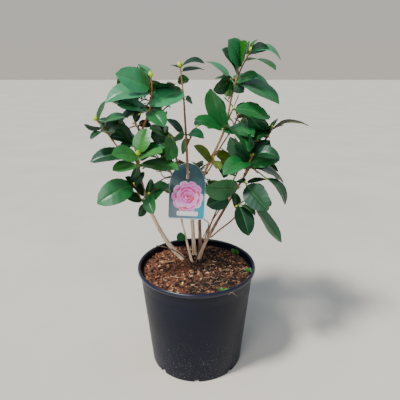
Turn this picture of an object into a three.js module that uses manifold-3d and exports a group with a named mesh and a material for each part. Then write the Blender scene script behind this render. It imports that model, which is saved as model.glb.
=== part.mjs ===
// A camellia shrub in its black nursery pot: pot, potting mix, stems, boughs, dead twigs,
// a plant label and masses of leaves. Millimetres, +Z up, origin under the middle of the pot.
import * as THREE from 'three';
import { mergeVertices } from 'three/addons/utils/BufferGeometryUtils.js';
import Module from 'manifold-3d';

const wasm = await Module();
wasm.setup();

// Driving dimensions
const GAP = 0.35;
const SIDE_GAP = 0.7;
const POT = { height: 273, rim: 150, rimInner: 142, top: 143.5, foot: 120.7, wall: 2.6, floor: 4, sides: 40 };
const RIM_DEPTH = 12;
const NOTCH = { count: 8, width: 13, height: 6 };
const MIX = { middle: 260, edge: 254, flat: 92 };
const LABEL = { width: 89, straight: 84, height: 139, thick: 1, slotHeight: 109, slotLong: 22, slotWide: 7.3 };
const LABEL_FOOT = [-25.9, 0, 394];
const LABEL_LEAN = 21;
const LABEL_ROLL = 2.5;
const SOIL = MIX.middle + GAP;
const CROWN_AXIS = [0, 45];

// The growing rule
const LEAF = { long: 82, wide: 0.29, thick: 1.6, arch: 0.09, fold: 0.18, petiole: 1.3 };
const LEAF_STATIONS = [[0.1, 0.04], [0.32, 0.9], [0.58, 1], [0.84, 0.6]];
const RULE = { tries: 8, open: 46, opener: 8, droop: 0.12, twigFoot: 14, leafFoot: 26 };
const NODE_GAPS = [3, 6, 1.5];
const SPIRAL = 144;
const TWIG = { base: 2.1, tip: 1.3 };
const CLEAR = { limb: 0.9, leaf: 5.6, ownLeaf: 2.5, ownTwig: 2, label: 6.5, pot: 6 };
const BEAD = { along: 0.1, across: 6.5 };
const CROWN_GAP = { left: -38, right: 14, above: 590 };

// Stems, boughs and dead twigs: base and tip radius, and the points each one runs through.
// A bough starts on its parent at the height given.
const LIMBS = [
  { name: 'stem_left', radii: [5.8, 2.3], rooted: true,
    through: [[-40, 47, SOIL], [-80, 35, 320], [-115, 5, 420], [-134, -18, 530], [-128, -24, 595],
      [-108, -25, 645]] },
  { name: 'stem_middle', radii: [4.8, 2.2], rooted: true,
    through: [[-6, 66, SOIL], [-12, 55, 363], [-21, 39.5, 492], [-23, 33, 560], [-27, 24, 655]] },
  { name: 'stem_right', radii: [4.2, 2], rooted: true,
    through: [[6, 46, SOIL], [27, 43, 317], [81, 25, 432], [122, 4, 516], [144, 0, 567], [163, 0, 597]] },
  { name: 'stem_tall', radii: [4.4, 2.3], rooted: true,
    through: [[11, 80, SOIL], [8, 70, 370], [17, 52, 486], [64, 30, 602], [80, 15, 686]] },
  { name: 'stem_thin', radii: [2.8, 1.8], rooted: true,
    through: [[-13, 30, SOIL], [-33, 42, 345], [-62, 58, 484], [-73, 36, 556]] },
  { name: 'stem_back', radii: [4, 2.1], rooted: true,
    through: [[-8, 92, SOIL], [-16, 94, 400], [-55, 118, 520], [-82, 122, 600]] },
  { name: 'bough_left_outer', radii: [1.9, 1.5], parent: 'stem_left', height: 520,
    through: [[-160, -32, 556], [-183, -40, 597]] },
  { name: 'bough_low_inner', radii: [1.8, 1.5], parent: 'stem_right', height: 312,
    through: [[34, 36, 361], [53, 30, 399], [73, 14, 437]] },
  { name: 'bough_low_outer', radii: [2.2, 1.7], parent: 'stem_right', height: 330,
    through: [[60, 22, 356], [88, 2, 390], [110, -18, 428]] },
  { name: 'bough_low_rear', radii: [1.9, 1.6], parent: 'stem_right', height: 322,
    through: [[40, 60, 362], [64, 80, 412], [92, 100, 455]] },
  { name: 'bough_back_right', radii: [2.2, 1.7], parent: 'stem_tall', height: 520,
    through: [[56, 74, 552], [82, 106, 584]] },
];
const DEAD_TWIGS = [
  { name: 'dead_twig_left', radii: [1.5, 1.1], rooted: true,
    through: [[-14, 10, SOIL], [-44, 12, 292], [-74, 14, 308], [-104, 16, 314]] },
  { name: 'dead_twig_right', radii: [1.4, 1], rooted: true,
    through: [[-2, 22, SOIL], [12, 30, 318], [31, 28, 366], [18, 26, 384]] },
];

// Masses of leaves. Each grows from one stem that starts at its limb, at the height given or at
// the limb's tip. A shoot runs to its bud. A tip is the point of a leaf that shows: the number of
// its node counted down from the bud, its place and how far it is rolled about its midrib. The
// rule adds the sprigs and the other leaves.
const MASSES = [
  { name: 'leaves_left_top', limb: 'stem_left', sprigs: 0, others: 2,
    shoots: [{ bud: [-95, -30, 731], tips: [[0, -120, -10, 757], [1, -50, 24, 709, -15], [2, -163, -60, 736],
      [3, -185, -70, 684], [4, -67, -75, 633], [5, -166, -55, 676, 20]] }] },
  { name: 'leaves_left_outer', limb: 'bough_left_outer', sprigs: 0, others: 0,
    shoots: [{ bud: [-208, -45, 657], tips: [[0, -238, -60, 636], [1, -196, -15, 684], [2, -150, -70, 655, -25],
      [4, -222, -84, 612, 45], [3, -179, -5, 648], [4, -165, -78, 593]] }] },
  { name: 'leaves_left_middle', limb: 'stem_left', height: 520, sprigs: 0, others: 1,
    shoots: [{ bud: [-122, -85, 577], tips: [[0, -106, -60, 628], [1, -72, -122, 597], [2, -171, -117, 587],
      [3, -44, -92, 547], [4, -179, -84, 541]] },
    { bud: [-148, -58, 574], tips: [[0, -165, -30, 632], [1, -228, -82, 558]] }] },
  { name: 'leaves_left_low', limb: 'stem_left', height: 432, sprigs: 0, others: 0,
    shoots: [{ bud: [-140, -52, 500], tips: [[0, -211, -95, 466], [2, -162, -62, 471], [4, -139, -45, 420],
      [3, -150, 10, 468]] },
    { bud: [-112, -36, 472], tips: [[0, -65, -32, 493], [1, -102, -70, 434], [2, -75, 5, 440]] }] },
  { name: 'leaves_middle_left', limb: 'stem_thin', sprigs: 0, others: 3,
    shoots: [{ bud: [-58, -8, 598], tips: [[0, -62, -68, 566], [1, -31, -30, 616], [2, -101, -44, 615],
      [3, -64, 40, 634]] }] },
  { name: 'leaves_middle_top', limb: 'stem_middle', sprigs: 0, others: 1,
    shoots: [{ bud: [-35, 14, 750], tips: [[0, 16, 0, 756, -45], [1, -60, 58, 756, 30], [2, 18, 50, 740, -40],
      [3, -14, -22, 719], [5, -97, -32, 662, -10], [4, 6, 40, 676]] }] },
  { name: 'leaves_middle_right', limb: 'stem_middle', height: 572, sprigs: 0, others: 2,
    shoots: [{ bud: [0, 68, 610], tips: [[1, 24, 20, 578], [0, 20, 118, 622]] }] },
  { name: 'leaves_right_top', limb: 'stem_tall', sprigs: 0, others: 2,
    shoots: [{ bud: [117, 8, 781], tips: [[3, 97, -10, 805, 25], [0, 186, 0, 768, -40], [3, 72, 45, 803],
      [4, 57, -30, 784], [1, 170, -42, 746, -40], [5, 181, -24, 679, -15], [3, 132, -25, 741]] },
    { bud: [72, 30, 722], tips: [[0, 25, 62, 763], [1, 36, -10, 702], [2, 110, -5, 698]] }] },
  { name: 'leaves_tall_side', limb: 'stem_tall', height: 606, sprigs: 0, others: 1,
    shoots: [{ bud: [90, -20, 648], tips: [[0, 164, -24, 637], [1, 130, -56, 606], [3, 24, -2, 701],
      [2, 110, -72, 577], [4, -3, 6, 637]] }] },
  { name: 'leaves_tall_inner', limb: 'stem_tall', height: 500, sprigs: 0, others: 1,
    shoots: [{ bud: [42, 24, 541], tips: [[1, -5, 12, 574], [0, 66, 24, 588], [2, 56, 5, 510]] }] },
  { name: 'leaves_right_outer', limb: 'stem_right', sprigs: 0, others: 1,
    shoots: [{ bud: [178, -4, 648], tips: [[1, 255, -12, 631, -50], [2, 122, -34, 650], [0, 205, 40, 668]] }] },
  { name: 'leaves_right_middle', limb: 'stem_right', height: 512, sprigs: 0, others: 1,
    shoots: [{ bud: [126, -44, 566], tips: [[0, 184, -66, 571], [2, 61, -84, 526], [1, 81, -38, 601],
      [3, 193, -36, 541]] },
    { bud: [158, -44, 512], tips: [[0, 200, -72, 456, -45], [1, 190, 0, 508]] }] },
  { name: 'leaves_low_inner', limb: 'bough_low_inner', sprigs: 0, others: 1,
    shoots: [{ bud: [92, -14, 478], tips: [[0, 22, -58, 496], [3, 30, -20, 428], [1, 60, -60, 452]] }] },
  { name: 'leaves_low_outer', limb: 'bough_low_outer', sprigs: 0, others: 1,
    shoots: [{ bud: [112, -50, 503], tips: [[0, 159, -92, 453], [3, 116, -74, 383], [1, 128, -92, 440]] },
    { bud: [137, -46, 442], tips: [[0, 198, -82, 370, -30]] }] },
  { name: 'leaves_left_rear', limb: 'stem_left', height: 600, sprigs: 1, others: 8,
    shoots: [{ bud: [-150, 46, 622], tips: [] }] },
  { name: 'leaves_back_left_low', limb: 'stem_back', height: 455, sprigs: 2, others: 10,
    shoots: [{ bud: [-95, 140, 505], tips: [] }] },
  { name: 'leaves_back_left_top', limb: 'stem_back', sprigs: 2, others: 10,
    shoots: [{ bud: [-92, 128, 668], tips: [] }] },
  { name: 'leaves_back_middle', limb: 'stem_back', height: 425, sprigs: 1, others: 8,
    shoots: [{ bud: [8, 160, 492], tips: [] }] },
  { name: 'leaves_back_right_low', limb: 'bough_low_rear', sprigs: 2, others: 10,
    shoots: [{ bud: [120, 128, 508], tips: [] }] },
  { name: 'leaves_back_right_top', limb: 'bough_back_right', sprigs: 2, others: 10,
    shoots: [{ bud: [112, 130, 640], tips: [] }] },
  { name: 'leaves_right_rear', limb: 'stem_right', height: 556, sprigs: 1, others: 8,
    shoots: [{ bud: [152, 88, 596], tips: [] }] },
];

const vector = (p) => new THREE.Vector3(...p);
const UP = new THREE.Vector3(0, 0, 1);
const FRONT = new THREE.Vector3(0, -1, 0);

// Repeatable random numbers from 0 to 1
function seededRandom(seed) {
  let state = seed >>> 0;
  return () => {
    state = (state + 0x6D2B79F5) >>> 0;
    let t = Math.imul(state ^ (state >>> 15), state | 1);
    t ^= t + Math.imul(t ^ (t >>> 7), t | 61);
    return ((t ^ (t >>> 14)) >>> 0) / 4294967296;
  };
}

// A smooth line through the points, with the given number of steps in each span
function smoothLine(points, steps) {
  const first = points[0].clone().multiplyScalar(2).sub(points[1]);
  const last = points[points.length - 1].clone().multiplyScalar(2).sub(points[points.length - 2]);
  const all = [first, ...points, last];
  const line = [points[0].clone()];
  for (let i = 1; i < all.length - 2; i += 1) {
    for (let k = 1; k <= steps; k += 1) {
      const t = k / steps;
      const weights = [-t + 2 * t * t - t ** 3, 2 - 5 * t * t + 3 * t ** 3, t + 4 * t * t - 3 * t ** 3,
        t ** 3 - t * t];
      const p = new THREE.Vector3();
      weights.forEach((w, j) => p.addScaledVector(all[i - 1 + j], w / 2));
      line.push(p);
    }
  }
  return line;
}

// The line from a to b that leaves a towards the pull
function bentLine(a, pull, b, steps) {
  const line = [];
  for (let k = 0; k <= steps; k += 1) {
    const t = k / steps;
    line.push(a.clone().multiplyScalar((1 - t) ** 2).addScaledVector(pull, 2 * t * (1 - t))
      .addScaledVector(b, t * t));
  }
  return line;
}

// Distance run at each point of a line
function runs(line) {
  const out = [0];
  for (let i = 1; i < line.length; i += 1) out.push(out[i - 1] + line[i].distanceTo(line[i - 1]));
  return out;
}

// The point, heading and radius at a distance along a branch
function pointAt(branch, distance) {
  const { line, run, radii } = branch;
  const total = run[run.length - 1];
  const at = Math.min(Math.max(distance, 0), total);
  let i = 1;
  while (i < run.length - 1 && run[i] < at) i += 1;
  const t = (at - run[i - 1]) / (run[i] - run[i - 1]);
  return {
    point: line[i - 1].clone().lerp(line[i], t),
    heading: line[i].clone().sub(line[i - 1]).normalize(),
    radius: radii[0] + (radii[1] - radii[0]) * (at / total),
  };
}

// Beads along a branch, used to keep other pieces clear of it
function beads(branch, spacing, skip = 0) {
  const total = branch.run[branch.run.length - 1];
  const out = [];
  for (let d = skip; d <= total; d += spacing) {
    const { point, radius } = pointAt(branch, d);
    out.push({ point, radius });
  }
  return out;
}

function makeBranch(line, radii) {
  return { line, run: runs(line), radii };
}

// A branch that leaves the side of its parent, first square to it and then towards its own route
function leaveParent(parent, height, towards, radius) {
  let distance = 0;
  while (pointAt(parent, distance).point.z < height) distance += 1;
  const seat = pointAt(parent, distance);
  const out = towards.clone().sub(seat.point);
  out.addScaledVector(seat.heading, -out.dot(seat.heading)).normalize();
  const start = seat.point.clone().addScaledVector(out, seat.radius + SIDE_GAP);
  const clear = start.clone().addScaledVector(out, radius * 1.3).addScaledVector(seat.heading, 1);
  return { start, clear, heading: out.clone().add(seat.heading).normalize() };
}

// Limbs
function growLimb(limb, grown) {
  const points = limb.through.map(vector);
  if (!limb.parent) return { ...limb, ...makeBranch(smoothLine(points, 6), limb.radii) };
  const { start, clear } = leaveParent(grown[limb.parent], limb.height, points[0], limb.radii[0]);
  const line = [start, ...smoothLine([clear, ...points], 5)];
  return { ...limb, ...makeBranch(line, limb.radii) };
}

// The twigs of a mass: its stem runs to the first bud, and the others leave it
function growTwigs(mass, grown, random) {
  const limb = grown[mass.limb];
  const bud = vector(mass.shoots[0].bud);
  let seat;
  if (mass.height) {
    seat = leaveParent(limb, mass.height, bud, TWIG.base);
  } else {
    const end = pointAt(limb, Infinity);
    const start = end.point.clone().addScaledVector(end.heading, GAP);
    seat = { start, clear: start.clone().addScaledVector(end.heading, 3), heading: end.heading };
  }
  const pull = seat.clear.clone().addScaledVector(seat.heading, seat.clear.distanceTo(bud) * 0.45);
  const leader = makeBranch([seat.start, ...bentLine(seat.clear, pull, bud, 6)], [TWIG.base, TWIG.tip]);
  const twigs = [{ ...leader, tips: mass.shoots[0].tips }];
  const total = leader.run[leader.run.length - 1];
  const branchOff = (distance, end, tips) => {
    const from = pointAt(leader, distance);
    const bend = from.point.clone().addScaledVector(from.heading, from.point.distanceTo(end) * 0.35);
    twigs.push({ ...makeBranch(bentLine(from.point, bend, end, 5), [TWIG.base * 0.85, TWIG.tip]), tips });
  };
  mass.shoots.slice(1).forEach((shoot) => branchOff(total * 0.35, vector(shoot.bud), shoot.tips));
  const side = random() * 360;
  for (let k = 0; k < mass.sprigs; k += 1) {
    const distance = total * (0.3 + 0.45 * ((k + random()) / mass.sprigs));
    const from = pointAt(leader, distance);
    const out = turned(from.heading, side + SPIRAL * k, 58 + 14 * random());
    const end = from.point.clone().addScaledVector(out, 48 + 24 * random()).addScaledVector(UP, 10);
    branchOff(distance, end, []);
  }
  return twigs;
}

// A direction turned away from an axis by `open` degrees, at `around` degrees about it
function turned(axis, around, open) {
  const side = Math.abs(axis.z) < 0.9 ? UP.clone() : new THREE.Vector3(1, 0, 0);
  const u = side.addScaledVector(axis, -side.dot(axis)).normalize();
  const v = axis.clone().cross(u);
  const a = THREE.MathUtils.degToRad(around);
  const o = THREE.MathUtils.degToRad(open);
  return axis.clone().multiplyScalar(Math.cos(o)).addScaledVector(u, Math.sin(o) * Math.cos(a))
    .addScaledVector(v, Math.sin(o) * Math.sin(a));
}

// Nodes of a twig, counted down from its bud
function nodesOf(twig) {
  const total = twig.run[twig.run.length - 1];
  const out = [];
  for (let k = 0; ; k += 1) {
    const back = NODE_GAPS[0] + NODE_GAPS[1] * k + NODE_GAPS[2] * k * k;
    if (back > total - 7) return out;
    out.push(total - back);
  }
}

// A leaf from its base to its tip. Its upper side faces the sky and the given way, and it can be
// rolled about its midrib by some degrees.
function makeLeaf(base, tip, facing, roll, random) {
  const along = tip.clone().sub(base);
  const long = along.length();
  along.divideScalar(long);
  const jitter = new THREE.Vector3(random() - 0.5, random() - 0.5, random() - 0.5);
  const normal = UP.clone().addScaledVector(facing, 0.9).addScaledVector(jitter, 0.6);
  normal.addScaledVector(along, -normal.dot(along)).normalize();
  normal.applyAxisAngle(along, THREE.MathUtils.degToRad(roll));
  return {
    base, tip, along, long, normal, side: normal.clone().cross(along),
    half: long * LEAF.wide * (0.92 + 0.16 * random()),
    arch: LEAF.arch * (0.5 + random()),
    fold: LEAF.fold * (0.5 + random()),
  };
}

// Middle, right edge and left edge of a leaf at a fraction of its length
function leafAt(leaf, s, width) {
  const middle = leaf.base.clone().addScaledVector(leaf.along, leaf.long * s)
    .addScaledVector(leaf.normal, 4 * s * (1 - s) * leaf.arch * leaf.long);
  const edge = (sign) => middle.clone().addScaledVector(leaf.side, sign * width)
    .addScaledVector(leaf.normal, leaf.fold * width);
  return { middle, right: edge(1), left: edge(-1) };
}

// The triangles of a leaf's middle surface
function leafSheet(leaf) {
  const rows = [[0, 0.04], ...LEAF_STATIONS].map(([s, w]) => leafAt(leaf, s, w * leaf.half));
  const sheet = [];
  for (let i = 1; i < rows.length; i += 1) {
    for (const edge of ['right', 'left']) {
      sheet.push(new THREE.Triangle(rows[i - 1].middle, rows[i - 1][edge], rows[i][edge]));
      sheet.push(new THREE.Triangle(rows[i - 1].middle, rows[i].middle, rows[i][edge]));
    }
  }
  const last = rows[rows.length - 1];
  sheet.push(new THREE.Triangle(last.middle, last.right, leaf.tip));
  sheet.push(new THREE.Triangle(last.middle, last.left, leaf.tip));
  return sheet;
}

// Half the width of a leaf at a fraction of its length
function halfWidth(leaf, s) {
  const stops = [[0, 0.04], ...LEAF_STATIONS, [1, 0]];
  const i = stops.findIndex(([at]) => at > s);
  const [[s0, w0], [s1, w1]] = [stops[i - 1], stops[i]];
  return leaf.half * (w0 + ((w1 - w0) * (s - s0)) / (s1 - s0));
}

// Beads all over a leaf, which keep the next leaves from running through it
function leafBeads(leaf) {
  const out = [];
  for (let s = BEAD.along / 2; s < 1; s += BEAD.along) {
    const width = halfWidth(leaf, s);
    const row = leafAt(leaf, s, width);
    out.push({ point: row.middle, radius: 0 });
    const count = Math.ceil(width / BEAD.across);
    for (let k = 1; k <= count && width > 2; k += 1) {
      out.push({ point: row.middle.clone().lerp(row.left, k / count), radius: 0 });
      out.push({ point: row.middle.clone().lerp(row.right, k / count), radius: 0 });
    }
  }
  return out;
}

// True where every triangle of a leaf's sheet keeps its distance from every bead
function clearOf(leaf, sheet, list, distance) {
  const middle = leaf.base.clone().lerp(leaf.tip, 0.5);
  const reach = leaf.long / 2 + 12;
  const nearest = new THREE.Vector3();
  return list.every((bead) => {
    const keep = bead.radius + distance;
    if (bead.point.distanceTo(middle) > reach + keep) return true;
    return sheet.every((t) => t.closestPointToPoint(bead.point, nearest).distanceTo(bead.point) > keep);
  });
}

function labelFrame() {
  const group = new THREE.Group();
  group.position.set(...LABEL_FOOT);
  group.rotation.set(THREE.MathUtils.degToRad(90 - LABEL_LEAN), 0, 0);
  group.rotateZ(THREE.MathUtils.degToRad(-LABEL_ROLL));
  group.updateMatrixWorld();
  return group;
}

// Beads over the label
function labelBeads() {
  const frame = labelFrame();
  const out = [];
  for (let x = -LABEL.width / 2; x <= LABEL.width / 2; x += 8) {
    for (let y = 0; y <= LABEL.height; y += 8) {
      out.push({ point: frame.localToWorld(new THREE.Vector3(x, y, 0)), radius: 0 });
    }
  }
  return out;
}

const clearOfPot = (points) => points.every((p) => p.z > POT.height + CLEAR.pot
  || Math.hypot(p.x, p.y) > POT.rim + CLEAR.pot);

// The crown stays open between its two halves, high up round the middle stem
const clearOfGap = (leaf) => leaf.tip.z < CROWN_GAP.above || leaf.tip.x < CROWN_GAP.left
  || leaf.tip.x > CROWN_GAP.right;

// The whole crown: twigs first, then the leaves that show, then the others. A leaf that would
// touch a limb, the label, the pot or another mass is left out.
function growCrown(grown) {
  const fixed = Object.values(grown).flatMap((limb) => beads(limb, 3));
  const label = labelBeads();
  const crown = MASSES.map((mass, i) => {
    const random = seededRandom(i + 1);
    return { mass, random, leaves: [], leafBeads: [], twigs: growTwigs(mass, grown, random) };
  });
  for (const part of crown) part.twigBeads = part.twigs.flatMap((t, i) => beads(t, 3, i ? 0 : 9));
  const fits = (part, leaf) => {
    const sheet = leafSheet(leaf);
    const corners = sheet.flatMap((t) => [t.a, t.b, t.c]);
    const others = crown.filter((c) => c !== part);
    return clearOfPot(corners) && clearOf(leaf, sheet, fixed, CLEAR.limb)
      && clearOf(leaf, sheet, label, CLEAR.label)
      && others.every((c) => clearOf(leaf, sheet, c.twigBeads, CLEAR.limb)
        && clearOf(leaf, sheet, c.leafBeads, CLEAR.leaf));
  };
  const keep = (part, leaf) => {
    part.leaves.push(leaf);
    part.leafBeads.push(...leafBeads(leaf));
  };
  for (const part of crown) {
    for (const twig of part.twigs) {
      const nodes = nodesOf(twig);
      twig.free = new Set(nodes.keys());
      for (const [node, x, y, z, roll] of twig.tips) {
        const k = Math.min(node, nodes.length - 1);
        const tip = new THREE.Vector3(x, y, z);
        const leaf = makeLeaf(pointAt(twig, nodes[k]).point, tip, FRONT, roll || 0, part.random);
        if (fits(part, leaf)) {
          keep(part, leaf);
          twig.free.delete(k);
        }
      }
    }
  }
  for (const part of crown) growOthers(part, fits, keep);
  return crown;
}

// A leaf that starts at a point of a twig, so many degrees round it and open from it
function ruleLeaf(part, point, heading, around, open, long) {
  const facing = new THREE.Vector3(point.x - CROWN_AXIS[0], point.y - CROWN_AXIS[1], 0).normalize();
  const tip = point.clone().addScaledVector(turned(heading, around, open), long)
    .addScaledVector(UP, -long * RULE.droop);
  const leaf = makeLeaf(point, tip, facing, 0, part.random);
  leaf.crowding = Math.max(-1, ...part.leaves.map((other) => other.along.dot(leaf.along)));
  return leaf;
}

// The other leaves of a mass, one at each free node, turned to where the mass has fewest leaves
function growOthers(part, fits, keep) {
  const far = (list, point, distance) => list.filter((b) => b.point.distanceTo(point) > distance);
  let left = part.mass.others;
  for (const twig of part.twigs) {
    const nodes = nodesOf(twig);
    const roll = part.random() * 360;
    for (const k of twig.free) {
      if (left === 0) return;
      const { point, heading } = pointAt(twig, nodes[k]);
      const long = LEAF.long * (0.78 + 0.3 * part.random());
      const open = RULE.open + RULE.opener * Math.min(k, 4);
      const choices = [...Array(RULE.tries).keys()].map((i) => ruleLeaf(part, point, heading,
        roll + SPIRAL * k + (360 * i) / RULE.tries, open, long));
      choices.sort((a, b) => a.crowding - b.crowding);
      const ownTwigs = far(part.twigBeads, point, RULE.twigFoot);
      const ownLeaves = far(part.leafBeads, point, RULE.leafFoot);
      const choice = choices.find((leaf) => clearOfGap(leaf) && fits(part, leaf)
        && clearOf(leaf, leafSheet(leaf), ownTwigs, CLEAR.ownTwig)
        && clearOf(leaf, leafSheet(leaf), ownLeaves, CLEAR.ownLeaf));
      if (choice) {
        keep(part, choice);
        left -= 1;
      }
    }
  }
}

// A closed surface through rings of points, closed by a point or a flat end at either end
function loft(rings, start, end) {
  const positions = [];
  const put = (...points) => points.forEach((p) => positions.push(p.x, p.y, p.z));
  const count = rings[0].length;
  for (let j = 0; j < count; j += 1) {
    const k = (j + 1) % count;
    put(start, rings[0][k], rings[0][j]);
    for (let i = 1; i < rings.length; i += 1) {
      put(rings[i - 1][j], rings[i - 1][k], rings[i][k]);
      put(rings[i - 1][j], rings[i][k], rings[i][j]);
    }
    put(end, rings[rings.length - 1][j], rings[rings.length - 1][k]);
  }
  const geometry = new THREE.BufferGeometry();
  geometry.setAttribute('position', new THREE.Float32BufferAttribute(positions, 3));
  return mergeVertices(geometry, 1e-4);
}

// A tapering tube along a branch, with a flat foot where it is rooted
function tube(branch, sides, spacing) {
  const total = branch.run[branch.run.length - 1];
  const count = Math.max(3, Math.round(total / spacing));
  const stops = [...Array(count + 1).keys()].map((i) => (total * i) / count);
  if (branch.rooted) stops.splice(1, 0, 7);
  else stops.splice(1, 0, branch.run[1]);
  let u = null;
  const rings = stops.map((distance, i) => {
    const at = pointAt(branch, distance + (i ? 0.01 : 0));
    const heading = branch.rooted && i === 0 ? UP : at.heading;
    const side = u || (Math.abs(heading.x) < 0.9 ? new THREE.Vector3(1, 0, 0) : new THREE.Vector3(0, 1, 0));
    u = side.clone().addScaledVector(heading, -side.dot(heading)).normalize();
    const v = heading.clone().cross(u);
    const flare = branch.rooted ? 1 + 0.35 * Math.exp(-distance / 10) : 1;
    return [...Array(sides).keys()].map((j) => {
      const a = (j / sides) * 2 * Math.PI;
      return at.point.clone().addScaledVector(u, at.radius * flare * Math.cos(a))
        .addScaledVector(v, at.radius * flare * Math.sin(a));
    });
  });
  return loft(rings, branch.line[0], branch.line[branch.line.length - 1]);
}

function leafSolid(leaf) {
  const half = LEAF.thick / 2;
  const ring = (s, width, thick) => {
    const { middle, right, left } = leafAt(leaf, s, width);
    return [right, middle.clone().addScaledVector(leaf.normal, thick), left,
      middle.clone().addScaledVector(leaf.normal, -thick)];
  };
  const rings = [ring(0, LEAF.petiole, 1), ...LEAF_STATIONS.map(([s, w], i) => ring(s,
    Math.max(LEAF.petiole, w * leaf.half), half * (i === 3 ? 0.8 : 1)))];
  return loft(rings, leaf.base, leaf.tip);
}

// A pointed bud at the end of a twig
function budSolid(twig) {
  const { point, heading } = pointAt(twig, Infinity);
  const ring = [0, 90, 180, 270].map((around) => point.clone().addScaledVector(heading, 3)
    .addScaledVector(turned(heading, around, 90), 3.4));
  const [start, end] = [-2, 10].map((along) => point.clone().addScaledVector(heading, along));
  return loft([ring], start, end);
}

function toSolid(geometry) {
  geometry.deleteAttribute('normal');
  geometry.deleteAttribute('uv');
  const merged = mergeVertices(geometry, 1e-4);
  return new wasm.Manifold(new wasm.Mesh({
    numProp: 3,
    vertProperties: new Float32Array(merged.attributes.position.array),
    triVerts: new Uint32Array(merged.index.array),
  }));
}

function toGeometry(solid) {
  const { vertProperties, triVerts } = solid.getMesh();
  const geometry = new THREE.BufferGeometry();
  geometry.setAttribute('position', new THREE.BufferAttribute(vertProperties, 3));
  geometry.setIndex(new THREE.BufferAttribute(triVerts, 1));
  return geometry;
}

// One body: loose scraps are dropped and sealed hollows filled
function fuse(geometries) {
  const joined = wasm.Manifold.union(geometries.map(toSolid));
  return joined.decompose().reduce((a, b) => (b.volume() > a.volume() ? b : a));
}

function massGeometry(part) {
  return toGeometry(fuse([...part.twigs.map((twig) => tube(twig, 3, 26)), ...part.twigs.map(budSolid),
    ...part.leaves.map(leafSolid)]));
}

function potGeometry() {
  const { height, rim, rimInner, top, foot, wall, floor, sides } = POT;
  const under = height - RIM_DEPTH;
  const profile = [[0, 0], [foot - 2, 0], [foot, 2.5], [top, under], [rim, under + 3],
    [rim, height - 2], [rim - 2.5, height], [rimInner + 2, height], [rimInner, height - 2],
    [top - wall, under], [foot - wall, floor], [0, floor]];
  const lathe = new THREE.LatheGeometry(profile.map(([r, z]) => new THREE.Vector2(r, z)), sides);
  lathe.rotateX(Math.PI / 2);
  let solid = toSolid(lathe);
  for (let i = 0; i < NOTCH.count; i += 1) {
    const notch = new THREE.BoxGeometry(NOTCH.width, 30, NOTCH.height * 2);
    notch.translate(0, -foot, floor);
    notch.rotateZ((i / NOTCH.count) * 2 * Math.PI);
    solid = solid.subtract(toSolid(notch));
  }
  return toGeometry(solid);
}

function mixGeometry() {
  const { top, foot, wall, floor, height, sides } = POT;
  const inner = (z) => foot - wall - GAP + ((top - foot) * (z - floor)) / (height - RIM_DEPTH - floor);
  const profile = [[0, floor + GAP], [inner(floor) - 0.2, floor + GAP], [inner(MIX.edge), MIX.edge],
    [MIX.flat + 26, MIX.middle - 2], [MIX.flat, MIX.middle], [0, MIX.middle]];
  const lathe = new THREE.LatheGeometry(profile.map(([r, z]) => new THREE.Vector2(r, z)), sides);
  lathe.rotateX(Math.PI / 2);
  return toGeometry(toSolid(lathe));
}

function labelGeometry() {
  const { width, straight, height, thick, slotHeight, slotLong, slotWide } = LABEL;
  const half = width / 2;
  const shape = new THREE.Shape();
  shape.moveTo(-half + 3, 0);
  shape.lineTo(half - 3, 0);
  shape.lineTo(half, 3);
  shape.lineTo(half, straight);
  shape.absellipse(0, straight, half, height - straight, 0, Math.PI, false, 0);
  shape.lineTo(-half, 3);
  const slot = new THREE.Path();
  const reach = (slotLong - slotWide) / 2;
  slot.absarc(0, slotHeight + reach, slotWide / 2, 0, Math.PI, false);
  slot.absarc(0, slotHeight - reach, slotWide / 2, Math.PI, 2 * Math.PI, false);
  shape.holes.push(slot);
  const plate = new THREE.ExtrudeGeometry(shape, { depth: thick, bevelEnabled: false, curveSegments: 8 });
  plate.translate(0, 0, -thick / 2);
  plate.applyMatrix4(labelFrame().matrixWorld);
  return toGeometry(toSolid(plate));
}

const MATERIALS = {
  pot: { color: '#232529', roughness: 0.5 },
  mix: { color: '#5a3a28', roughness: 0.95 },
  bark: { color: '#8a6a4c', roughness: 0.8 },
  dead: { color: '#4d3a2c', roughness: 0.9 },
  label: { color: '#2f8f98', roughness: 0.35 },
  leaf: { color: '#2a5a2c', roughness: 0.35 },
};

function named(name, geometry, finish) {
  const material = new THREE.MeshStandardMaterial({ ...MATERIALS[finish], metalness: 0 });
  const mesh = new THREE.Mesh(geometry, material);
  mesh.name = name;
  return mesh;
}

const shrub = new THREE.Group();
shrub.name = 'camellia_in_pot';
shrub.add(named('pot', potGeometry(), 'pot'));
shrub.add(named('potting_mix', mixGeometry(), 'mix'));
shrub.add(named('plant_label', labelGeometry(), 'label'));

const grown = {};
for (const limb of [...LIMBS, ...DEAD_TWIGS]) grown[limb.name] = growLimb(limb, grown);
for (const limb of Object.values(grown)) {
  const thin = limb.radii[0] < 3;
  const finish = limb.name.startsWith('dead') ? 'dead' : 'bark';
  shrub.add(named(limb.name, tube(limb, thin ? 6 : 8, thin ? 22 : 26), finish));
}
for (const part of growCrown(grown)) {
  shrub.add(named(part.mass.name, massGeometry(part), 'leaf'));
}

export default shrub;
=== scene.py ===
"""Looks of a camellia shrub in its black nursery pot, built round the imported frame.

The plant is grown again by the rule of the part's source, in millimetres, and then carried to
finer twigs and leaves. Every mesh is made in metres.
"""
import math

import bpy
import numpy as np
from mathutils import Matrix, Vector, noise


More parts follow.
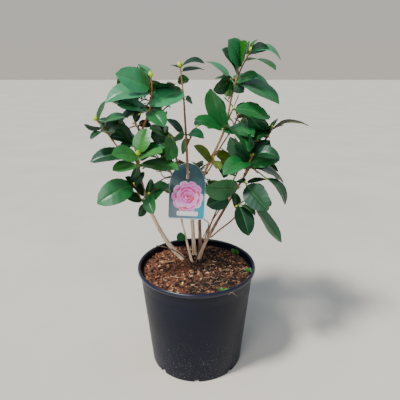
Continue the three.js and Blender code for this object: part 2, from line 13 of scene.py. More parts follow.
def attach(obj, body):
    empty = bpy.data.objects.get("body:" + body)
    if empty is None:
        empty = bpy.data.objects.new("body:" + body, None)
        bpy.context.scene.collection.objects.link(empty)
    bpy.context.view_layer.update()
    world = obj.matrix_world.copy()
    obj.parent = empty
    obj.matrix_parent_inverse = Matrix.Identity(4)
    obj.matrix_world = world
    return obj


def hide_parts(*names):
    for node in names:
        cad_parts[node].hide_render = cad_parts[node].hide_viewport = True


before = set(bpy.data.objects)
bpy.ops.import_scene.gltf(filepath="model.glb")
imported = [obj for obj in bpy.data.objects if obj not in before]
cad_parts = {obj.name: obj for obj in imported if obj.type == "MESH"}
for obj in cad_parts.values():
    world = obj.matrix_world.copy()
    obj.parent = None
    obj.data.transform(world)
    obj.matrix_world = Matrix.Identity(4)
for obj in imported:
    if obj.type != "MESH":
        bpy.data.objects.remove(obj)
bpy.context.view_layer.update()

# Sizes of the part's source, in millimetres
MM = 0.001
GAP = 0.35
SIDE_GAP = 0.7
POT = {"height": 273, "rim": 150, "top": 143.5, "foot": 120.7, "wall": 2.6, "floor": 4,
       "rim_depth": 12}
UNDER_RIM = POT["height"] - POT["rim_depth"]
NOTCH = {"count": 8, "width": 13, "height": 6}
MIX = {"middle": 260, "edge": 254, "flat": 92, "shoulder": 118, "wide": 140}
LABEL = {"width": 89, "straight": 84, "height": 139, "thick": 1, "slot_height": 109, "slot_long": 22,
         "slot_wide": 7.3}
LABEL_FOOT = (-25.9, 0, 394)
LABEL_LEAN = 21
LABEL_ROLL = 2.5
SOIL = MIX["middle"] + GAP
CROWN_AXIS = (0, 45)

# The growing rule. A station is a fraction of a leaf's length and of its half width.
LEAF = {"long": 82, "wide": 0.29, "arch": 0.09, "fold": 0.18, "outward": 0.9, "jitter": 0.6}
STATIONS = [(0, 0.04), (0.1, 0.04), (0.32, 0.9), (0.58, 1), (0.84, 0.6), (1, 0)]
RULE = {"tries": 8, "open": 46, "opener": 8, "open_nodes": 4, "long": (0.78, 1.08), "droop": 0.12,
        "twig_foot": 14, "leaf_foot": 26, "skip": 9}
NODE_GAPS = (3, 6, 1.5)
LOWEST_NODE = 7
MOST_NODES = 40
SPIRAL = 144
TWIG = {"base": 2.1, "tip": 1.3, "taper": 0.85, "stub": 3, "pull": 0.45, "bend": 0.35, "fork": 0.35}
CLEAR = {"limb": 0.9, "leaf": 5.6, "own_leaf": 2.5, "own_twig": 2, "label": 6.5, "pot": 6, "shown": 0.2,
         "shown_label": 3}
BEAD = {"along": 0.1, "across": 6.5}
FINER = {"limb_gap": 1.5, "leaf_gap": 3.6, "reach": 26, "foot": 16, "tries": 12, "every": 22,
         "leaf": (50, 78), "taper": 0.75, "skip": 6}
SPRIGS = {"from": (0.3, 0.75), "open": (58, 72), "long": (48, 72), "rise": 10}
FINE_SPRIGS = {"from": (0.25, 0.9), "open": (45, 65), "long": (24, 44), "rise": 4}
NEAR = 10
MARGIN = 12
OPEN_ROOM = 30
CROWN_GAP = {"left": -38, "right": 14, "above": 590}
EYE = np.array((8.8, -915, 771))
HIDDEN = {"others": 0.86, "finer": 0.88}
BLADE_WIDE = 1.12
WIDEST = 1.2

# Stems, boughs and dead twigs: name, radii at base and tip, and the points each one runs through.
# A bough also has its parent and the height at which it leaves it.
LIMBS = [
    ("stem_left", (5.8, 2.3), [(-40, 47, SOIL), (-80, 35, 320), (-115, 5, 420), (-134, -18, 530),
        (-128, -24, 595), (-108, -25, 645)]),
    ("stem_middle", (4.8, 2.2), [(-6, 66, SOIL), (-12, 55, 363), (-21, 39.5, 492), (-23, 33, 560),
        (-27, 24, 655)]),
    ("stem_right", (4.2, 2), [(6, 46, SOIL), (27, 43, 317), (81, 25, 432), (122, 4, 516), (144, 0, 567),
        (163, 0, 597)]),
    ("stem_tall", (4.4, 2.3), [(11, 80, SOIL), (8, 70, 370), (17, 52, 486), (64, 30, 602),
        (80, 15, 686)]),
    ("stem_thin", (2.8, 1.8), [(-13, 30, SOIL), (-33, 42, 345), (-62, 58, 484), (-73, 36, 556)]),
    ("stem_back", (4, 2.1), [(-8, 92, SOIL), (-16, 94, 400), (-55, 118, 520), (-82, 122, 600)]),
    ("bough_left_outer", (1.9, 1.5), [(-160, -32, 556), (-183, -40, 597)], "stem_left", 520),
    ("bough_low_inner", (1.8, 1.5), [(34, 36, 361), (53, 30, 399), (73, 14, 437)], "stem_right", 312),
    ("bough_low_outer", (2.2, 1.7), [(60, 22, 356), (88, 2, 390), (110, -18, 428)], "stem_right", 330),
    ("bough_low_rear", (1.9, 1.6), [(40, 60, 362), (64, 80, 412), (92, 100, 455)], "stem_right", 322),
    ("bough_back_right", (2.2, 1.7), [(56, 74, 552), (82, 106, 584)], "stem_tall", 520),
    ("dead_twig_left", (1.5, 1.1), [(-14, 10, SOIL), (-44, 12, 292), (-74, 14, 308), (-104, 16, 314)]),
    ("dead_twig_right", (1.4, 1), [(-2, 22, SOIL), (12, 30, 318), (31, 28, 366), (18, 26, 384)]),
]
# Masses of leaves: name, limb, height on the limb or None for its tip, sprigs, other leaves, shoots.
# A shoot is a bud's place and the tips of its leaves that show: node counted down from the bud, place
# of the tip, width that shows from the front, tint and arch. The width is negative where the upper
# side tips away from the sky.
# Of the tints, shade is painted shade, light is painted light and pale is a painted sheen of the sky; the
# others are the leaves' own greens.
MASSES = [
    ("leaves_left_top", "stem_left", None, 0, 2, [
        ((-95, -30, 731), [(0, -123, -5, 757, 15, "pale"), (1, -45, 24, 714, -15, "deep"),
         (2, -162, -70, 739, 49, "pale"), (3, -118, -38, 752, 14, "fresh"),
         (3, -189, -60, 681, 37, "pale", 0.14), (5, -66, -70, 632, 38, "mid"),
         (5, -167, -50, 675, 26, "pale")]),
        ((-122, -30, 656), [(0, -169, -30, 684, 22, "shade"), (1, -173, -20, 687, -12, "shade"),
         (3, -170, -30, 626, 14, "shade")])]),
    ("leaves_left_outer", "bough_left_outer", None, 0, 0, [
        ((-213, -45, 642), [(2, -238, -60, 637, -11, "shade"), (0, -195, -25, 683, 11, "deep"),
         (1, -148, -70, 652, 14, "mid"), (4, -220, -84, 608, 8, "deep", 0.2),
         (4, -173, -30, 643, 28, "deep"), (1, -194, -60, 632, 14, "deep")])]),
    ("leaves_left_middle", "stem_left", 520, 0, 1, [
        ((-122, -85, 577), [(0, -105, -62, 628, 37, "fresh"), (1, -67, -125, 590, 18, "light", 0.02),
         (1, -169, -125, 587, 34, "light", 0.05), (0, -76, -60, 587, 16, "deep"),
         (2, -66, -70, 589, 24, "mid")]),
        ((-148, -58, 574), [(3, -37, -95, 546, 27, "light", 0.03), (3, -178, -90, 543, 26, "light", 0.04),
         (3, -146, -50, 510, -19, "deep"), (0, -227, -80, 559, 31, "deep")]),
        ((-139, -40, 596), [(0, -167, -60, 634, 16, "deep"), (1, -176, -45, 622, 20, "deep"),
         (1, -152, -38, 616, 24, "deep"), (2, -104, -34, 618, 22, "deep"),
         (1, -172, -30, 583, 20, "shade"), (0, -189, -45, 608, 24, "shade")])]),
    ("leaves_left_low", "stem_left", 432, 0, 0, [
        ((-140, -52, 500), [(0, -216, -95, 469, 56, "mid", 0.13), (5, -63, -32, 493, 34, "mid"),
         (5, -135, -50, 421, -21, "deep"), (1, -121, -22, 521, 20, "deep")]),
        ((-112, -36, 472), [(2, -163, -62, 475, 25, "deep"), (0, -95, -75, 438, 31, "mid"),
         (0, -60, -5, 466, 7, "dry", 0.2), (0, -104, -40, 510, -18, "deep"),
         (1, -160, -50, 517, 22, "shade")])]),
    ("leaves_middle_left", "stem_thin", None, 0, 2, [
        ((-58, -8, 598), [(0, -64, -75, 562, -35, "light"), (3, -30, 0, 613, -15, "mid"),
         (1, -101, -45, 624, 16, "fresh"), (3, -61, -20, 623, 11, "mid"),
         (2, -103, 10, 594, -24, "deep")])]),
    ("leaves_middle_top", "stem_middle", None, 0, 0, [
        ((-35, 14, 750), [(0, 19, 0, 758, 11, "shade", 0.24), (0, -57, 40, 754, 7, "shade"),
         (1, 19, 40, 744, 9, "shade"), (1, -28, 45, 713, 27, "mid"), (4, -97, -40, 671, 45, "pale", 0.05),
         (5, -10, 50, 672, 17, "mid")])]),
    ("leaves_middle_right", "stem_middle", 572, 0, 1, [
        ((0, 68, 610), [(0, 40, 118, 622, 20, "deep"), (3, -36, 66, 543, 19, "mid")]),
        ((-30, 18, 600), [(2, 19, 10, 592, 22, "pale", 0.3), (0, -68, 20, 636, 18, "deep")])]),
    ("leaves_right_top", "stem_tall", None, 0, 0, [
        ((117, 8, 781), [(1, 117, 25, 805, 12, "deep"), (0, 184, 0, 764, 14, "pale", 0.27),
         (3, 66, -40, 804, 40, "pale"), (4, 54, -35, 786, 22, "deep"), (2, 166, -42, 745, 6, "mid", 0.16),
         (5, 180, -30, 675, 32, "mid", 0.1), (5, 133, -25, 733, 21, "mid", 0.1),
         (0, 155, -10, 789, 22, "shade", 0.2), (5, 172, 45, 706, 30, "pale", 0.12),
         (1, 149, 40, 782, 9, "mid"), (0, 133, 12, 807, 7, "fresh"), (3, 104, -46, 801, 14, "fresh")]),
        ((72, 30, 722), [(0, 24, 55, 761, 14, "pale", 0.12), (1, 37, -20, 704, -32, "deep"),
         (1, 106, 0, 697, -30, "shade"), (1, 42, 40, 724, 9, "mid"), (1, 115, 30, 735, 8, "mid"),
         (1, 78, 5, 691, 9, "fresh"), (1, 86, 8, 700, 7, "fresh")])]),
    ("leaves_tall_side", "stem_tall", 606, 0, 0, [
        ((68, 6, 627), [(4, 32, -5, 706, 43, "mid", 0.03), (4, 126, -50, 607, 32, "mid"),
         (4, 112, -76, 580, 17, "mid", 0.16), (4, -4, 0, 638, 28, "mid", 0.05)]),
        ((82, -14, 663), [(0, 162, -24, 642, 31, "mid")])]),
    ("leaves_tall_inner", "stem_tall", 500, 0, 1, [
        ((42, 24, 541), [(1, -6, 12, 575, 23, "olive"), (0, 58, 5, 519, 18, "olive")])]),
    ("leaves_right_outer", "stem_right", None, 0, 0, [
        ((172, -4, 621), [(2, 254, -12, 625, 10, "dry", 0.18), (3, 118, -40, 652, -31, "deep"),
         (2, 190, 25, 637, 10, "mid"), (3, 122, -20, 632, 15, "mid"), (3, 127, -40, 596, 19, "deep")])]),
    ("leaves_right_middle", "stem_right", 512, 0, 1, [
        ((126, -44, 566), [(0, 183, -66, 564, 28, "deep", 0.2), (2, 59, -86, 532, 38, "mid"),
         (2, 75, -38, 606, -38, "deep"), (3, 186, -50, 556, 38, "mid", 0.14),
         (3, 204, -20, 497, 20, "deep", 0.1), (0, 118, -60, 617, 12, "deep"),
         (1, 166, -25, 595, 30, "shade"), (2, 84, -48, 588, 26, "shade")]),
        ((158, -44, 512), [(0, 200, -72, 457, 20, "deep", 0.2)])]),
    ("leaves_low_inner", "bough_low_inner", None, 0, 1, [
        ((92, -14, 478), [(3, 24, -20, 438, -46, "shade"), (1, 94, -30, 432, -22, "deep")]),
        ((101, -16, 480), [(0, 20, -62, 495, -50, "mid", 0.05)])]),
    ("leaves_low_outer", "bough_low_outer", None, 0, 1, [
        ((112, -50, 503), [(0, 159, -95, 453, 54, "deep"), (0, 163, -30, 505, 11, "shade"),
         (0, 92, -15, 495, 14, "deep")]),
        ((137, -46, 442), [(0, 201, -62, 360, 28, "mid", 0)]),
        ((97, -32, 442), [(0, 121, -75, 383, -44, "shade"), (0, 134, -70, 431, 11, "mid")])]),
    ("leaves_left_rear", "stem_left", 600, 3, 12, [
        ((-150, 46, 622), [(1, -128, 30, 660, 20, "shade"), (3, -107, 35, 622, 20, "shade")])]),
    ("leaves_back_left_low", "stem_back", 455, 4, 16, [
        ((-95, 140, 505), [])]),
    ("leaves_back_left_top", "stem_back", None, 4, 16, [
        ((-92, 128, 668), [])]),
    ("leaves_back_middle", "stem_back", 425, 3, 12, [
        ((8, 160, 492), [])]),
    ("leaves_back_right_low", "bough_low_rear", None, 4, 16, [
        ((120, 128, 508), [(3, 44, 85, 543, 30, "olive")])]),
    ("leaves_back_right_top", "bough_back_right", None, 4, 16, [
        ((112, 130, 640), [])]),
    ("leaves_right_rear", "stem_right", 556, 3, 12, [
        ((152, 88, 596), [])]),
]

def vec(*p):
    return np.array(p, float)


UP = vec(0, 0, 1)
FRONT = vec(0, -1, 0)
SKYWARD = vec(-0.35, 0, 1)


def length(v):
    return math.sqrt(float(v @ v))


def unit(v):
    return v / length(v)


def between(low, high, share):
    return low + (high - low) * share


def distances(points, place):
    """Each point's distance from a place."""
    return np.sqrt(((points[:, :3] - place) ** 2).sum(axis=1))


def run_along(line):
    """The distance run at each point of a line."""
    return np.concatenate([[0.0], np.cumsum(np.sqrt((np.diff(line, axis=0) ** 2).sum(axis=1)))])


def turn_about(axis, angle):
    """The matrix of a turn about X, Y or Z, which are axes 0, 1 and 2."""
    i, j = (axis + 1) % 3, (axis + 2) % 3
    turn = np.eye(3)
    turn[i, i] = turn[j, j] = math.cos(angle)
    turn[j, i] = math.sin(angle)
    turn[i, j] = -math.sin(angle)
    return turn


class Seeded:
    """Repeatable random numbers from 0 to 1, the ones that the part's source draws."""

    MASK = 0xFFFFFFFF

    def __init__(self, seed):
        self.state = seed & self.MASK

    def __call__(self):
        mask = self.MASK
        self.state = (self.state + 0x6D2B79F5) & mask
        t = ((self.state ^ (self.state >> 15)) * (self.state | 1)) & mask
        t ^= (t + (((t ^ (t >> 7)) * (t | 61)) & mask)) & mask
        return ((t ^ (t >> 14)) & mask) / 4294967296


def smooth_line(points, steps):
    """A smooth line through the points, with the given number of steps in each span."""
    points = [vec(*p) for p in points]
    every = [2 * points[0] - points[1], *points, 2 * points[-1] - points[-2]]
    line = [points[0]]
    for i in range(len(points) - 1):
        for k in range(1, steps + 1):
            t = k / steps
            weights = (-t + 2 * t * t - t ** 3, 2 - 5 * t * t + 3 * t ** 3, t + 4 * t * t - 3 * t ** 3,
                       t ** 3 - t * t)
            line.append(sum(point * (w / 2) for point, w in zip(every[i:], weights)))
    return line


def bent_line(a, pull, b, steps):
    """The line from a to b that leaves a towards the pull."""
    return [a * (1 - t) ** 2 + pull * (2 * t * (1 - t)) + b * (t * t) for t in np.arange(steps + 1) / steps]


class Branch:
    """A tapering line: points, distance run at each, radii at base and tip, nodes down from the bud."""

    def __init__(self, line, radii, tips=(), root=None):
        self.line = np.array(line, float)
        self.run = run_along(self.line)
        self.total = float(self.run[-1])
        self.radii = radii
        self.tips = tips
        self.root = root
        first, step, growth = NODE_GAPS
        backs = [first + step * k + growth * k * k for k in range(MOST_NODES)]
        self.nodes = [self.total - back for back in backs if back <= self.total - LOWEST_NODE]
        self.free = set(range(len(self.nodes)))

    def radius(self, distance):
        return between(*self.radii, min(max(distance / self.total, 0), 1))

    def at(self, distance):
        """The point, heading and radius at a distance along the branch."""
        d = min(max(distance, 0.0), self.total)
        i = max(1, int(np.searchsorted(self.run, d)))
        a, b = self.line[i - 1], self.line[i]
        t = (d - self.run[i - 1]) / (self.run[i] - self.run[i - 1])
        return a + (b - a) * t, unit(b - a), self.radius(d)

    def beads(self, skip=0, spacing=3):
        """Points along the branch with its radius there, used to keep other pieces clear of it."""
        return np.array([(*point, radius) for point, _, radius in
                         map(self.at, np.arange(skip, self.total, spacing))])


def run_up_to(parent, height):
    """The distance along a branch at which it reaches a height."""
    distance = 0
    while parent.at(distance)[0][2] < height:
        distance += 1
    return distance


def leave_parent(parent, height, towards, radius):
    """Where a branch leaves its parent's side: first square to it and then towards its own route."""
    seat, heading, seat_radius = parent.at(run_up_to(parent, height))
    out = towards - seat
    out = unit(out - heading * float(out @ heading))
    start = seat + out * (seat_radius + SIDE_GAP)
    return start, start + out * (radius * 1.3) + heading, unit(out + heading), seat


def grow_limb(grown, radii, through, parent=None, height=None):
    """A stem from the mix, or a bough from its parent's side."""
    if parent is None:
        return Branch(smooth_line(through, 6), radii)
    start, clear, _, seat = leave_parent(grown[parent], height, vec(*through[0]), radii[0])
    return Branch([start, *smooth_line([clear, *through], 5)], radii, root=seat)


def turned(axis, around, opened):
    """A direction turned away from an axis by `opened` degrees, at `around` degrees about it."""
    side = UP if abs(axis[2]) < 0.9 else vec(1, 0, 0)
    u = unit(side - axis * float(side @ axis))
    v = np.cross(axis, u)
    a, o = math.radians(around), math.radians(opened)
    return axis * math.cos(o) + u * (math.sin(o) * math.cos(a)) + v * (math.sin(o) * math.sin(a))


def branch_off(leader, distance, end, tips=()):
    start, heading, _ = leader.at(distance)
    bend = start + heading * (length(start - end) * TWIG["bend"])
    radii = (TWIG["base"] * TWIG["taper"], TWIG["tip"])
    return Branch(bent_line(start, bend, end, 5), radii, tips, root=start)


def grow_sprigs(leader, count, look, random):
    """Twigs that leave a leader one after another, in a spiral round it."""
    side = random() * 360
    for k in range(count):
        distance = leader.total * between(*look["from"], (k + random()) / count)
        start, heading, _ = leader.at(distance)
        out = turned(heading, side + SPIRAL * k, between(*look["open"], random()))
        end = start + out * between(*look["long"], random()) + UP * look["rise"]
        yield branch_off(leader, distance, end)


def grow_twigs(limb, height, sprigs, shoots, random):
    """The twigs of a mass: its stem runs to the first bud, and the others leave it."""
    bud = vec(*shoots[0][0])
    if height is None:
        root, heading, _ = limb.at(math.inf)
        start = root + heading * GAP
        clear = start + heading * TWIG["stub"]
    else:
        start, clear, heading, root = leave_parent(limb, height, bud, TWIG["base"])
    pull = clear + heading * (length(clear - bud) * TWIG["pull"])
    leader = Branch([start, *bent_line(clear, pull, bud, 6)], (TWIG["base"], TWIG["tip"]), shoots[0][1], root)
    twigs = [leader]
    for place, tips in shoots[1:]:
        twigs.append(branch_off(leader, leader.total * TWIG["fork"], vec(*place), tips))
    return twigs + list(grow_sprigs(leader, sprigs, SPRIGS, random))


class Leaf:
    """A leaf from its base to its tip. Its upper side faces the sky and the given way."""

    def __init__(self, base, tip, random, facing=FRONT):
        self.base, self.tip = base, tip
        self.long = length(tip - base)
        self.along = (tip - base) / self.long
        jitter = vec(random() - 0.5, random() - 0.5, random() - 0.5)
        normal = UP + facing * LEAF["outward"] + jitter * LEAF["jitter"]
        self.face(unit(normal - self.along * float(normal @ self.along)))
        self.half = self.long * LEAF["wide"] * (0.92 + 0.16 * random())
        self.arch = LEAF["arch"] * (0.5 + random())
        self.fold = LEAF["fold"] * (0.5 + random())
        self.tint = None

    def face(self, normal):
        self.normal = normal
        self.side = np.cross(normal, self.along)

    def show(self, seen, tint, arch=None):
        """Turns the leaf until this width of it shows from the front, and gives it tint and arch."""
        full = 2 * self.half * BLADE_WIDE
        self.half *= min(max(abs(seen) / full, 1), WIDEST)
        view = EYE - (self.base + self.tip) / 2
        toward = unit(view - self.along * float(view @ self.along))
        across = np.cross(self.along, toward)
        if (across @ SKYWARD) * seen < 0:
            across = -across
        turn = math.acos(min(1, abs(seen) / full))
        self.face(toward * math.cos(turn) + across * math.sin(turn))
        self.fold *= 0.4 + 0.6 * math.cos(turn)
        self.tint = tint
        self.arch = self.arch if arch is None else arch

    def middle(self, s):
        """Points of the middle line at fractions of the length."""
        s = np.asarray(s, float)[..., None]
        rise = self.normal * (4 * s * (1 - s) * self.arch * self.long)
        return self.base + self.along * (self.long * s) + rise

    def width(self, s):
        return self.half * float(np.interp(s, *zip(*STATIONS)))

    def row(self, s):
        """Middle, right edge and left edge at a fraction of the length."""
        middle, width = self.middle(s), self.width(s)
        lift = self.normal * (self.fold * width)
        return middle, middle + self.side * width + lift, middle - self.side * width + lift

    def spots(self):
        """A close grid of points all over the blade."""
        out = []
        for s in np.linspace(0.04, 0.98, 32):
            middle, *edges = self.row(s)
            out += [middle + (edge - middle) * q for edge in edges for q in np.linspace(0, 1, 8)]
        return np.array(out)

    def sheet(self):
        """The triangles of the middle surface."""
        rows = [self.row(s) for s, _ in STATIONS[:-1]]
        out = [(rows[-1][0], edge, self.tip) for edge in rows[-1][1:]]
        for (m0, *edges0), (m1, *edges1) in zip(rows, rows[1:]):
            for e0, e1 in zip(edges0, edges1):
                out += [(m0, e0, e1), (m0, m1, e1)]
        return np.array(out)

    def beads(self):
        """Points all over the leaf, which keep the next leaves from running through it."""
        out = []
        for s in np.arange(BEAD["along"] / 2, 1, BEAD["along"]):
            middle, *edges = self.row(s)
            count = math.ceil(self.width(s) / BEAD["across"]) if self.width(s) > 2 else 0
            out.append((*middle, 0))
            for k in range(1, count + 1):
                out += [(*(middle + (edge - middle) * (k / count)), 0) for edge in edges]
        return np.array(out)


def sheet_distance(points, sheet):
    """Each point's distance to the nearest triangle."""
    p = points[:, None, :]
    a, b, c = (sheet[None, :, k] for k in range(3))
    best = np.full((len(points), len(sheet)), np.inf)
    for start, end in ((a, b), (b, c), (c, a)):
        edge = end - start
        t = ((p - start) * edge).sum(-1) / (edge * edge).sum(-1)
        nearest = start + edge * np.clip(t, 0, 1)[..., None]
        best = np.minimum(best, np.sqrt(((p - nearest) ** 2).sum(-1)))
    u, v, w = b - a, c - a, p - a
    n = np.cross(u, v)
    area = (n * n).sum(-1)
    gamma = (np.cross(np.broadcast_to(u, w.shape), w) * n).sum(-1) / area
    beta = (np.cross(w, np.broadcast_to(v, w.shape)) * n).sum(-1) / area
    inside = (gamma >= 0) & (beta >= 0) & (gamma + beta <= 1)
    plane = np.abs((w * n).sum(-1)) / np.sqrt(area)
    return np.where(inside, np.minimum(plane, best), best).min(axis=1)


def clear_of_pot(points):
    low = points[:, 2] <= POT["height"] + CLEAR["pot"]
    inner = np.hypot(points[:, 0], points[:, 1]) <= POT["rim"] + CLEAR["pot"]
    return not (low & inner).any()


def fits(leaf, pairs):
    """True where a leaf is clear of the pot and of beads, given in pairs with their distance."""
    sheet = leaf.sheet()
    if not clear_of_pot(sheet.reshape(-1, 3)):
        return False
    for beads, distance in pairs:
        keep = beads[:, 3] + distance
        close = distances(beads, (leaf.base + leaf.tip) / 2) <= leaf.long / 2 + MARGIN + keep
        if close.any() and not (sheet_distance(beads[close, :3], sheet) > keep[close]).all():
            return False
    return True


def beyond(beads, place, distance):
    """The beads that lie further than this from a place."""
    return beads[distances(beads, place) > distance]


def on_label(points):
    """Points of the label's own frame, in the part's frame."""
    turn = turn_about(0, math.radians(90 - LABEL_LEAN)) @ turn_about(2, math.radians(-LABEL_ROLL))
    return vec(*LABEL_FOOT) + np.asarray(points, float) @ turn.T


def label_grid(step):
    half = LABEL["width"] / 2
    return on_label([(x, y, 0) for x in np.arange(-half, half + 0.01, step)
                     for y in range(0, LABEL["height"] + 1, step)])


class Screen:
    """What the leaves that show hide from the eye: the nearest depth in each cell of the plane Y = 0."""

    CELL = 4
    SIZE = 260

    def __init__(self):
        self.near = np.full((self.SIZE, self.SIZE), np.inf)

    def cells(self, points):
        seen = EYE + (points - EYE) * (-EYE[1] / (points[:, 1] - EYE[1]))[:, None]
        place = np.round(seen[:, [0, 2]] / self.CELL).astype(int)
        return place[:, 0] + self.SIZE // 2, place[:, 1]

    def cover(self, points):
        np.minimum.at(self.near, self.cells(points), points[:, 1])

    def hidden(self, points):
        """The share of the points that lie behind a leaf that shows."""
        return float((self.near[self.cells(points)] < points[:, 1] - 1).mean())


class Mass:
    """One mass of leaves while it grows."""

    def __init__(self, seed, name, limb, height, sprigs, others, shoots):
        self.name = name
        self.others = others
        self.random = Seeded(seed)
        self.twigs = grow_twigs(grown[limb], height, sprigs, shoots, self.random)
        self.twig_beads = np.concatenate([twig.beads(0 if i else RULE["skip"])
                                          for i, twig in enumerate(self.twigs)])
        self.leaves = []
        self.leaf_beads = np.zeros((0, 4))

    def keep(self, leaf):
        self.leaves.append(leaf)
        self.leaf_beads = np.concatenate([self.leaf_beads, leaf.beads()])

    def choices(self, twig, k, roll, long, tries):
        """Leaves by the rule at one node of a twig, each turned further round it."""
        point, heading, _ = twig.at(twig.nodes[k])
        facing = unit(vec(point[0] - CROWN_AXIS[0], point[1] - CROWN_AXIS[1], 0))
        opened = RULE["open"] + RULE["opener"] * min(k, RULE["open_nodes"])
        drop = UP * (long * RULE["droop"])
        turns = [turned(heading, roll + SPIRAL * k + 360 * i / tries, opened) for i in range(tries)]
        return [Leaf(point, point + turn * long - drop, self.random, facing) for turn in turns]

    def crowding(self, leaf):
        """How nearly one of the mass's leaves points the same way, up to 1."""
        return max([-1.0] + [float(other.along @ leaf.along) for other in self.leaves])


class Crown:
    """The whole crown: twigs first, then the leaves that show, then the others."""

    def __init__(self):
        self.fixed = np.concatenate([limb.beads() for limb in grown.values()])
        self.label = np.array([(*point, 0) for point in label_grid(8)])
        self.masses = [Mass(i + 1, *plan) for i, plan in enumerate(MASSES)]
        self.screen = Screen()
        self.screen.cover(label_grid(3))
        for grow in (self.place_shown, self.grow_others):
            for mass in self.masses:
                grow(mass)

    def place_shown(self, mass):
        pairs = [(self.fixed, CLEAR["shown"]), (self.label, CLEAR["shown_label"])]
        for twig in mass.twigs:
            for node, x, y, z, *look in twig.tips:
                k = min(node, len(twig.nodes) - 1)
                leaf = Leaf(twig.at(twig.nodes[k])[0], vec(x, y, z), mass.random)
                leaf.show(*look)
                if fits(leaf, pairs):
                    mass.keep(leaf)
                    self.screen.cover(leaf.spots())
                    twig.free.discard(k)

    def grow_others(self, mass):
        """The other leaves of a mass, one at each free node, turned to where it has fewest leaves."""
        for twig in mass.twigs:
            roll = mass.random() * 360
            for k in sorted(twig.free):
                if mass.others == 0:
                    return
                long = LEAF["long"] * between(*RULE["long"], mass.random())
                leaves = mass.choices(twig, k, roll, long, RULE["tries"])
                pairs = self.neighbours(mass, leaves[0].base)
                for leaf in sorted(leaves, key=mass.crowding):
                    if self.hides(leaf) and fits(leaf, pairs):
                        mass.keep(leaf)
                        mass.others -= 1
                        twig.free.discard(k)
                        break

    def neighbours(self, mass, base):
        """Beads and distances that a leaf of this mass keeps to, its own mass's from some way off."""
        pairs = [(self.fixed, CLEAR["limb"]), (self.label, CLEAR["label"]),
                 (beyond(mass.twig_beads, base, RULE["twig_foot"]), CLEAR["own_twig"]),
                 (beyond(mass.leaf_beads, base, RULE["leaf_foot"]), CLEAR["own_leaf"])]
        for other in self.masses:
            if other is not mass:
                pairs += [(other.twig_beads, CLEAR["limb"]), (other.leaf_beads, CLEAR["leaf"])]
        return pairs

    def hides(self, leaf):
        """True behind the leaves that show, and outside the gap between the crown's two halves."""
        x, _, z = leaf.tip
        in_gap = z >= CROWN_GAP["above"] and CROWN_GAP["left"] <= x <= CROWN_GAP["right"]
        return not in_gap and self.screen.hidden(leaf.beads()[:, :3]) > HIDDEN["others"]


def near(points, beads, distance):
    """The beads that lie near enough to the points to matter."""
    span = np.ptp(points, axis=0).max() / 2 + distance
    return beads[(np.abs(beads[:, :3] - points.mean(axis=0)) < span + MARGIN).all(axis=1)]


def gaps(points, beads):
    """Each bead's distance to the nearest of the points."""
    return np.sqrt(((points[:, None, :3] - beads[None, :, :3]) ** 2).sum(axis=2).min(axis=0))


class Finer:
    """Finer twigs and leaves that grow on by the same rule, within each mass's own reach."""

    def __init__(self, crown):
        self.screen = crown.screen
        self.fixed = np.concatenate([crown.fixed + vec(0, 0, 0, FINER["limb_gap"]),
                                     crown.label + vec(0, 0, 0, CLEAR["label"])])
        self.leaves = np.concatenate([mass.leaf_beads for mass in crown.masses])
        self.twigs = np.concatenate([mass.twig_beads for mass in crown.masses])
        self.reach = {mass.name: np.concatenate([mass.leaf_beads, mass.twig_beads]) for mass in crown.masses}
        for grow in (self.dress, self.carry_on):
            for mass in crown.masses:
                for twig in list(mass.twigs):
                    grow(mass, twig)

    def room(self, mass, leaf):
        """How far a leaf lies from its nearest neighbour, or 0 where it doesn't fit."""
        points = leaf.beads()[:, :3]
        if not clear_of_pot(points) or self.screen.hidden(points) < HIDDEN["finer"]:
            return 0
        reach = near(points, self.reach[mass.name], FINER["reach"])
        if len(reach) == 0 or gaps(reach, points).max() > FINER["reach"]:
            return 0
        twigs = beyond(near(points, self.twigs, NEAR), leaf.base, RULE["twig_foot"])
        for beads, distance in ((near(points, self.fixed, NEAR), 0), (twigs, CLEAR["own_twig"])):
            if (gaps(points, beads) < beads[:, 3] + distance).any():
                return 0
        leaves = beyond(near(points, self.leaves, NEAR), leaf.base, FINER["foot"])
        gap = gaps(points, leaves).min() if len(leaves) else OPEN_ROOM
        return gap if gap > FINER["leaf_gap"] else 0

    def dress(self, mass, twig):
        """A leaf at each free node, turned to where it has most room."""
        roll = mass.random() * 360
        for k in sorted(twig.free):
            leaves = mass.choices(twig, k, roll, between(*FINER["leaf"], mass.random()), FINER["tries"])
            rooms = [self.room(mass, leaf) for leaf in leaves]
            if max(rooms) > 0:
                best = leaves[int(np.argmax(rooms))]
                mass.leaves.append(best)
                self.leaves = np.concatenate([self.leaves, best.beads()])

    def carry_on(self, mass, twig):
        """Finer twigs that leave a twig, where they get leaves."""
        count = max(1, round(twig.total / FINER["every"]))
        for sprig in grow_sprigs(twig, count, FINE_SPRIGS, mass.random):
            sprig.radii = (TWIG["tip"], TWIG["tip"] * FINER["taper"])
            before = len(mass.leaves)
            self.dress(mass, sprig)
            if len(mass.leaves) > before:
                mass.twigs.append(sprig)
                self.twigs = np.concatenate([self.twigs, sprig.beads(FINER["skip"])])


grown = {}
for name, radii, through, *fork in LIMBS:
    grown[name] = grow_limb(grown, radii, through, *fork)
crown = Crown()
Finer(crown)


# Meshes
def circle(sides):
    """Cosines and sines of even steps round a circle."""
    angles = np.arange(sides) * (2 * math.pi / sides)
    return np.cos(angles), np.sin(angles)


def grid_faces(n):
    """Quads between the neighbours in a grid of point numbers."""
    return np.stack([n[:-1, :-1], n[:-1, 1:], n[1:, 1:], n[1:, :-1]], axis=-1).reshape(-1, 4).tolist()


def closed_faces(n, foot, top):
    """The quads of a grid, with a fan from its first row to a foot and from its last row to a top."""
    first, last = n[0].tolist(), n[-1].tolist()
    return (grid_faces(n) + [[foot, b, a] for a, b in zip(first, first[1:])]
            + [[top, a, b] for a, b in zip(last, last[1:])])


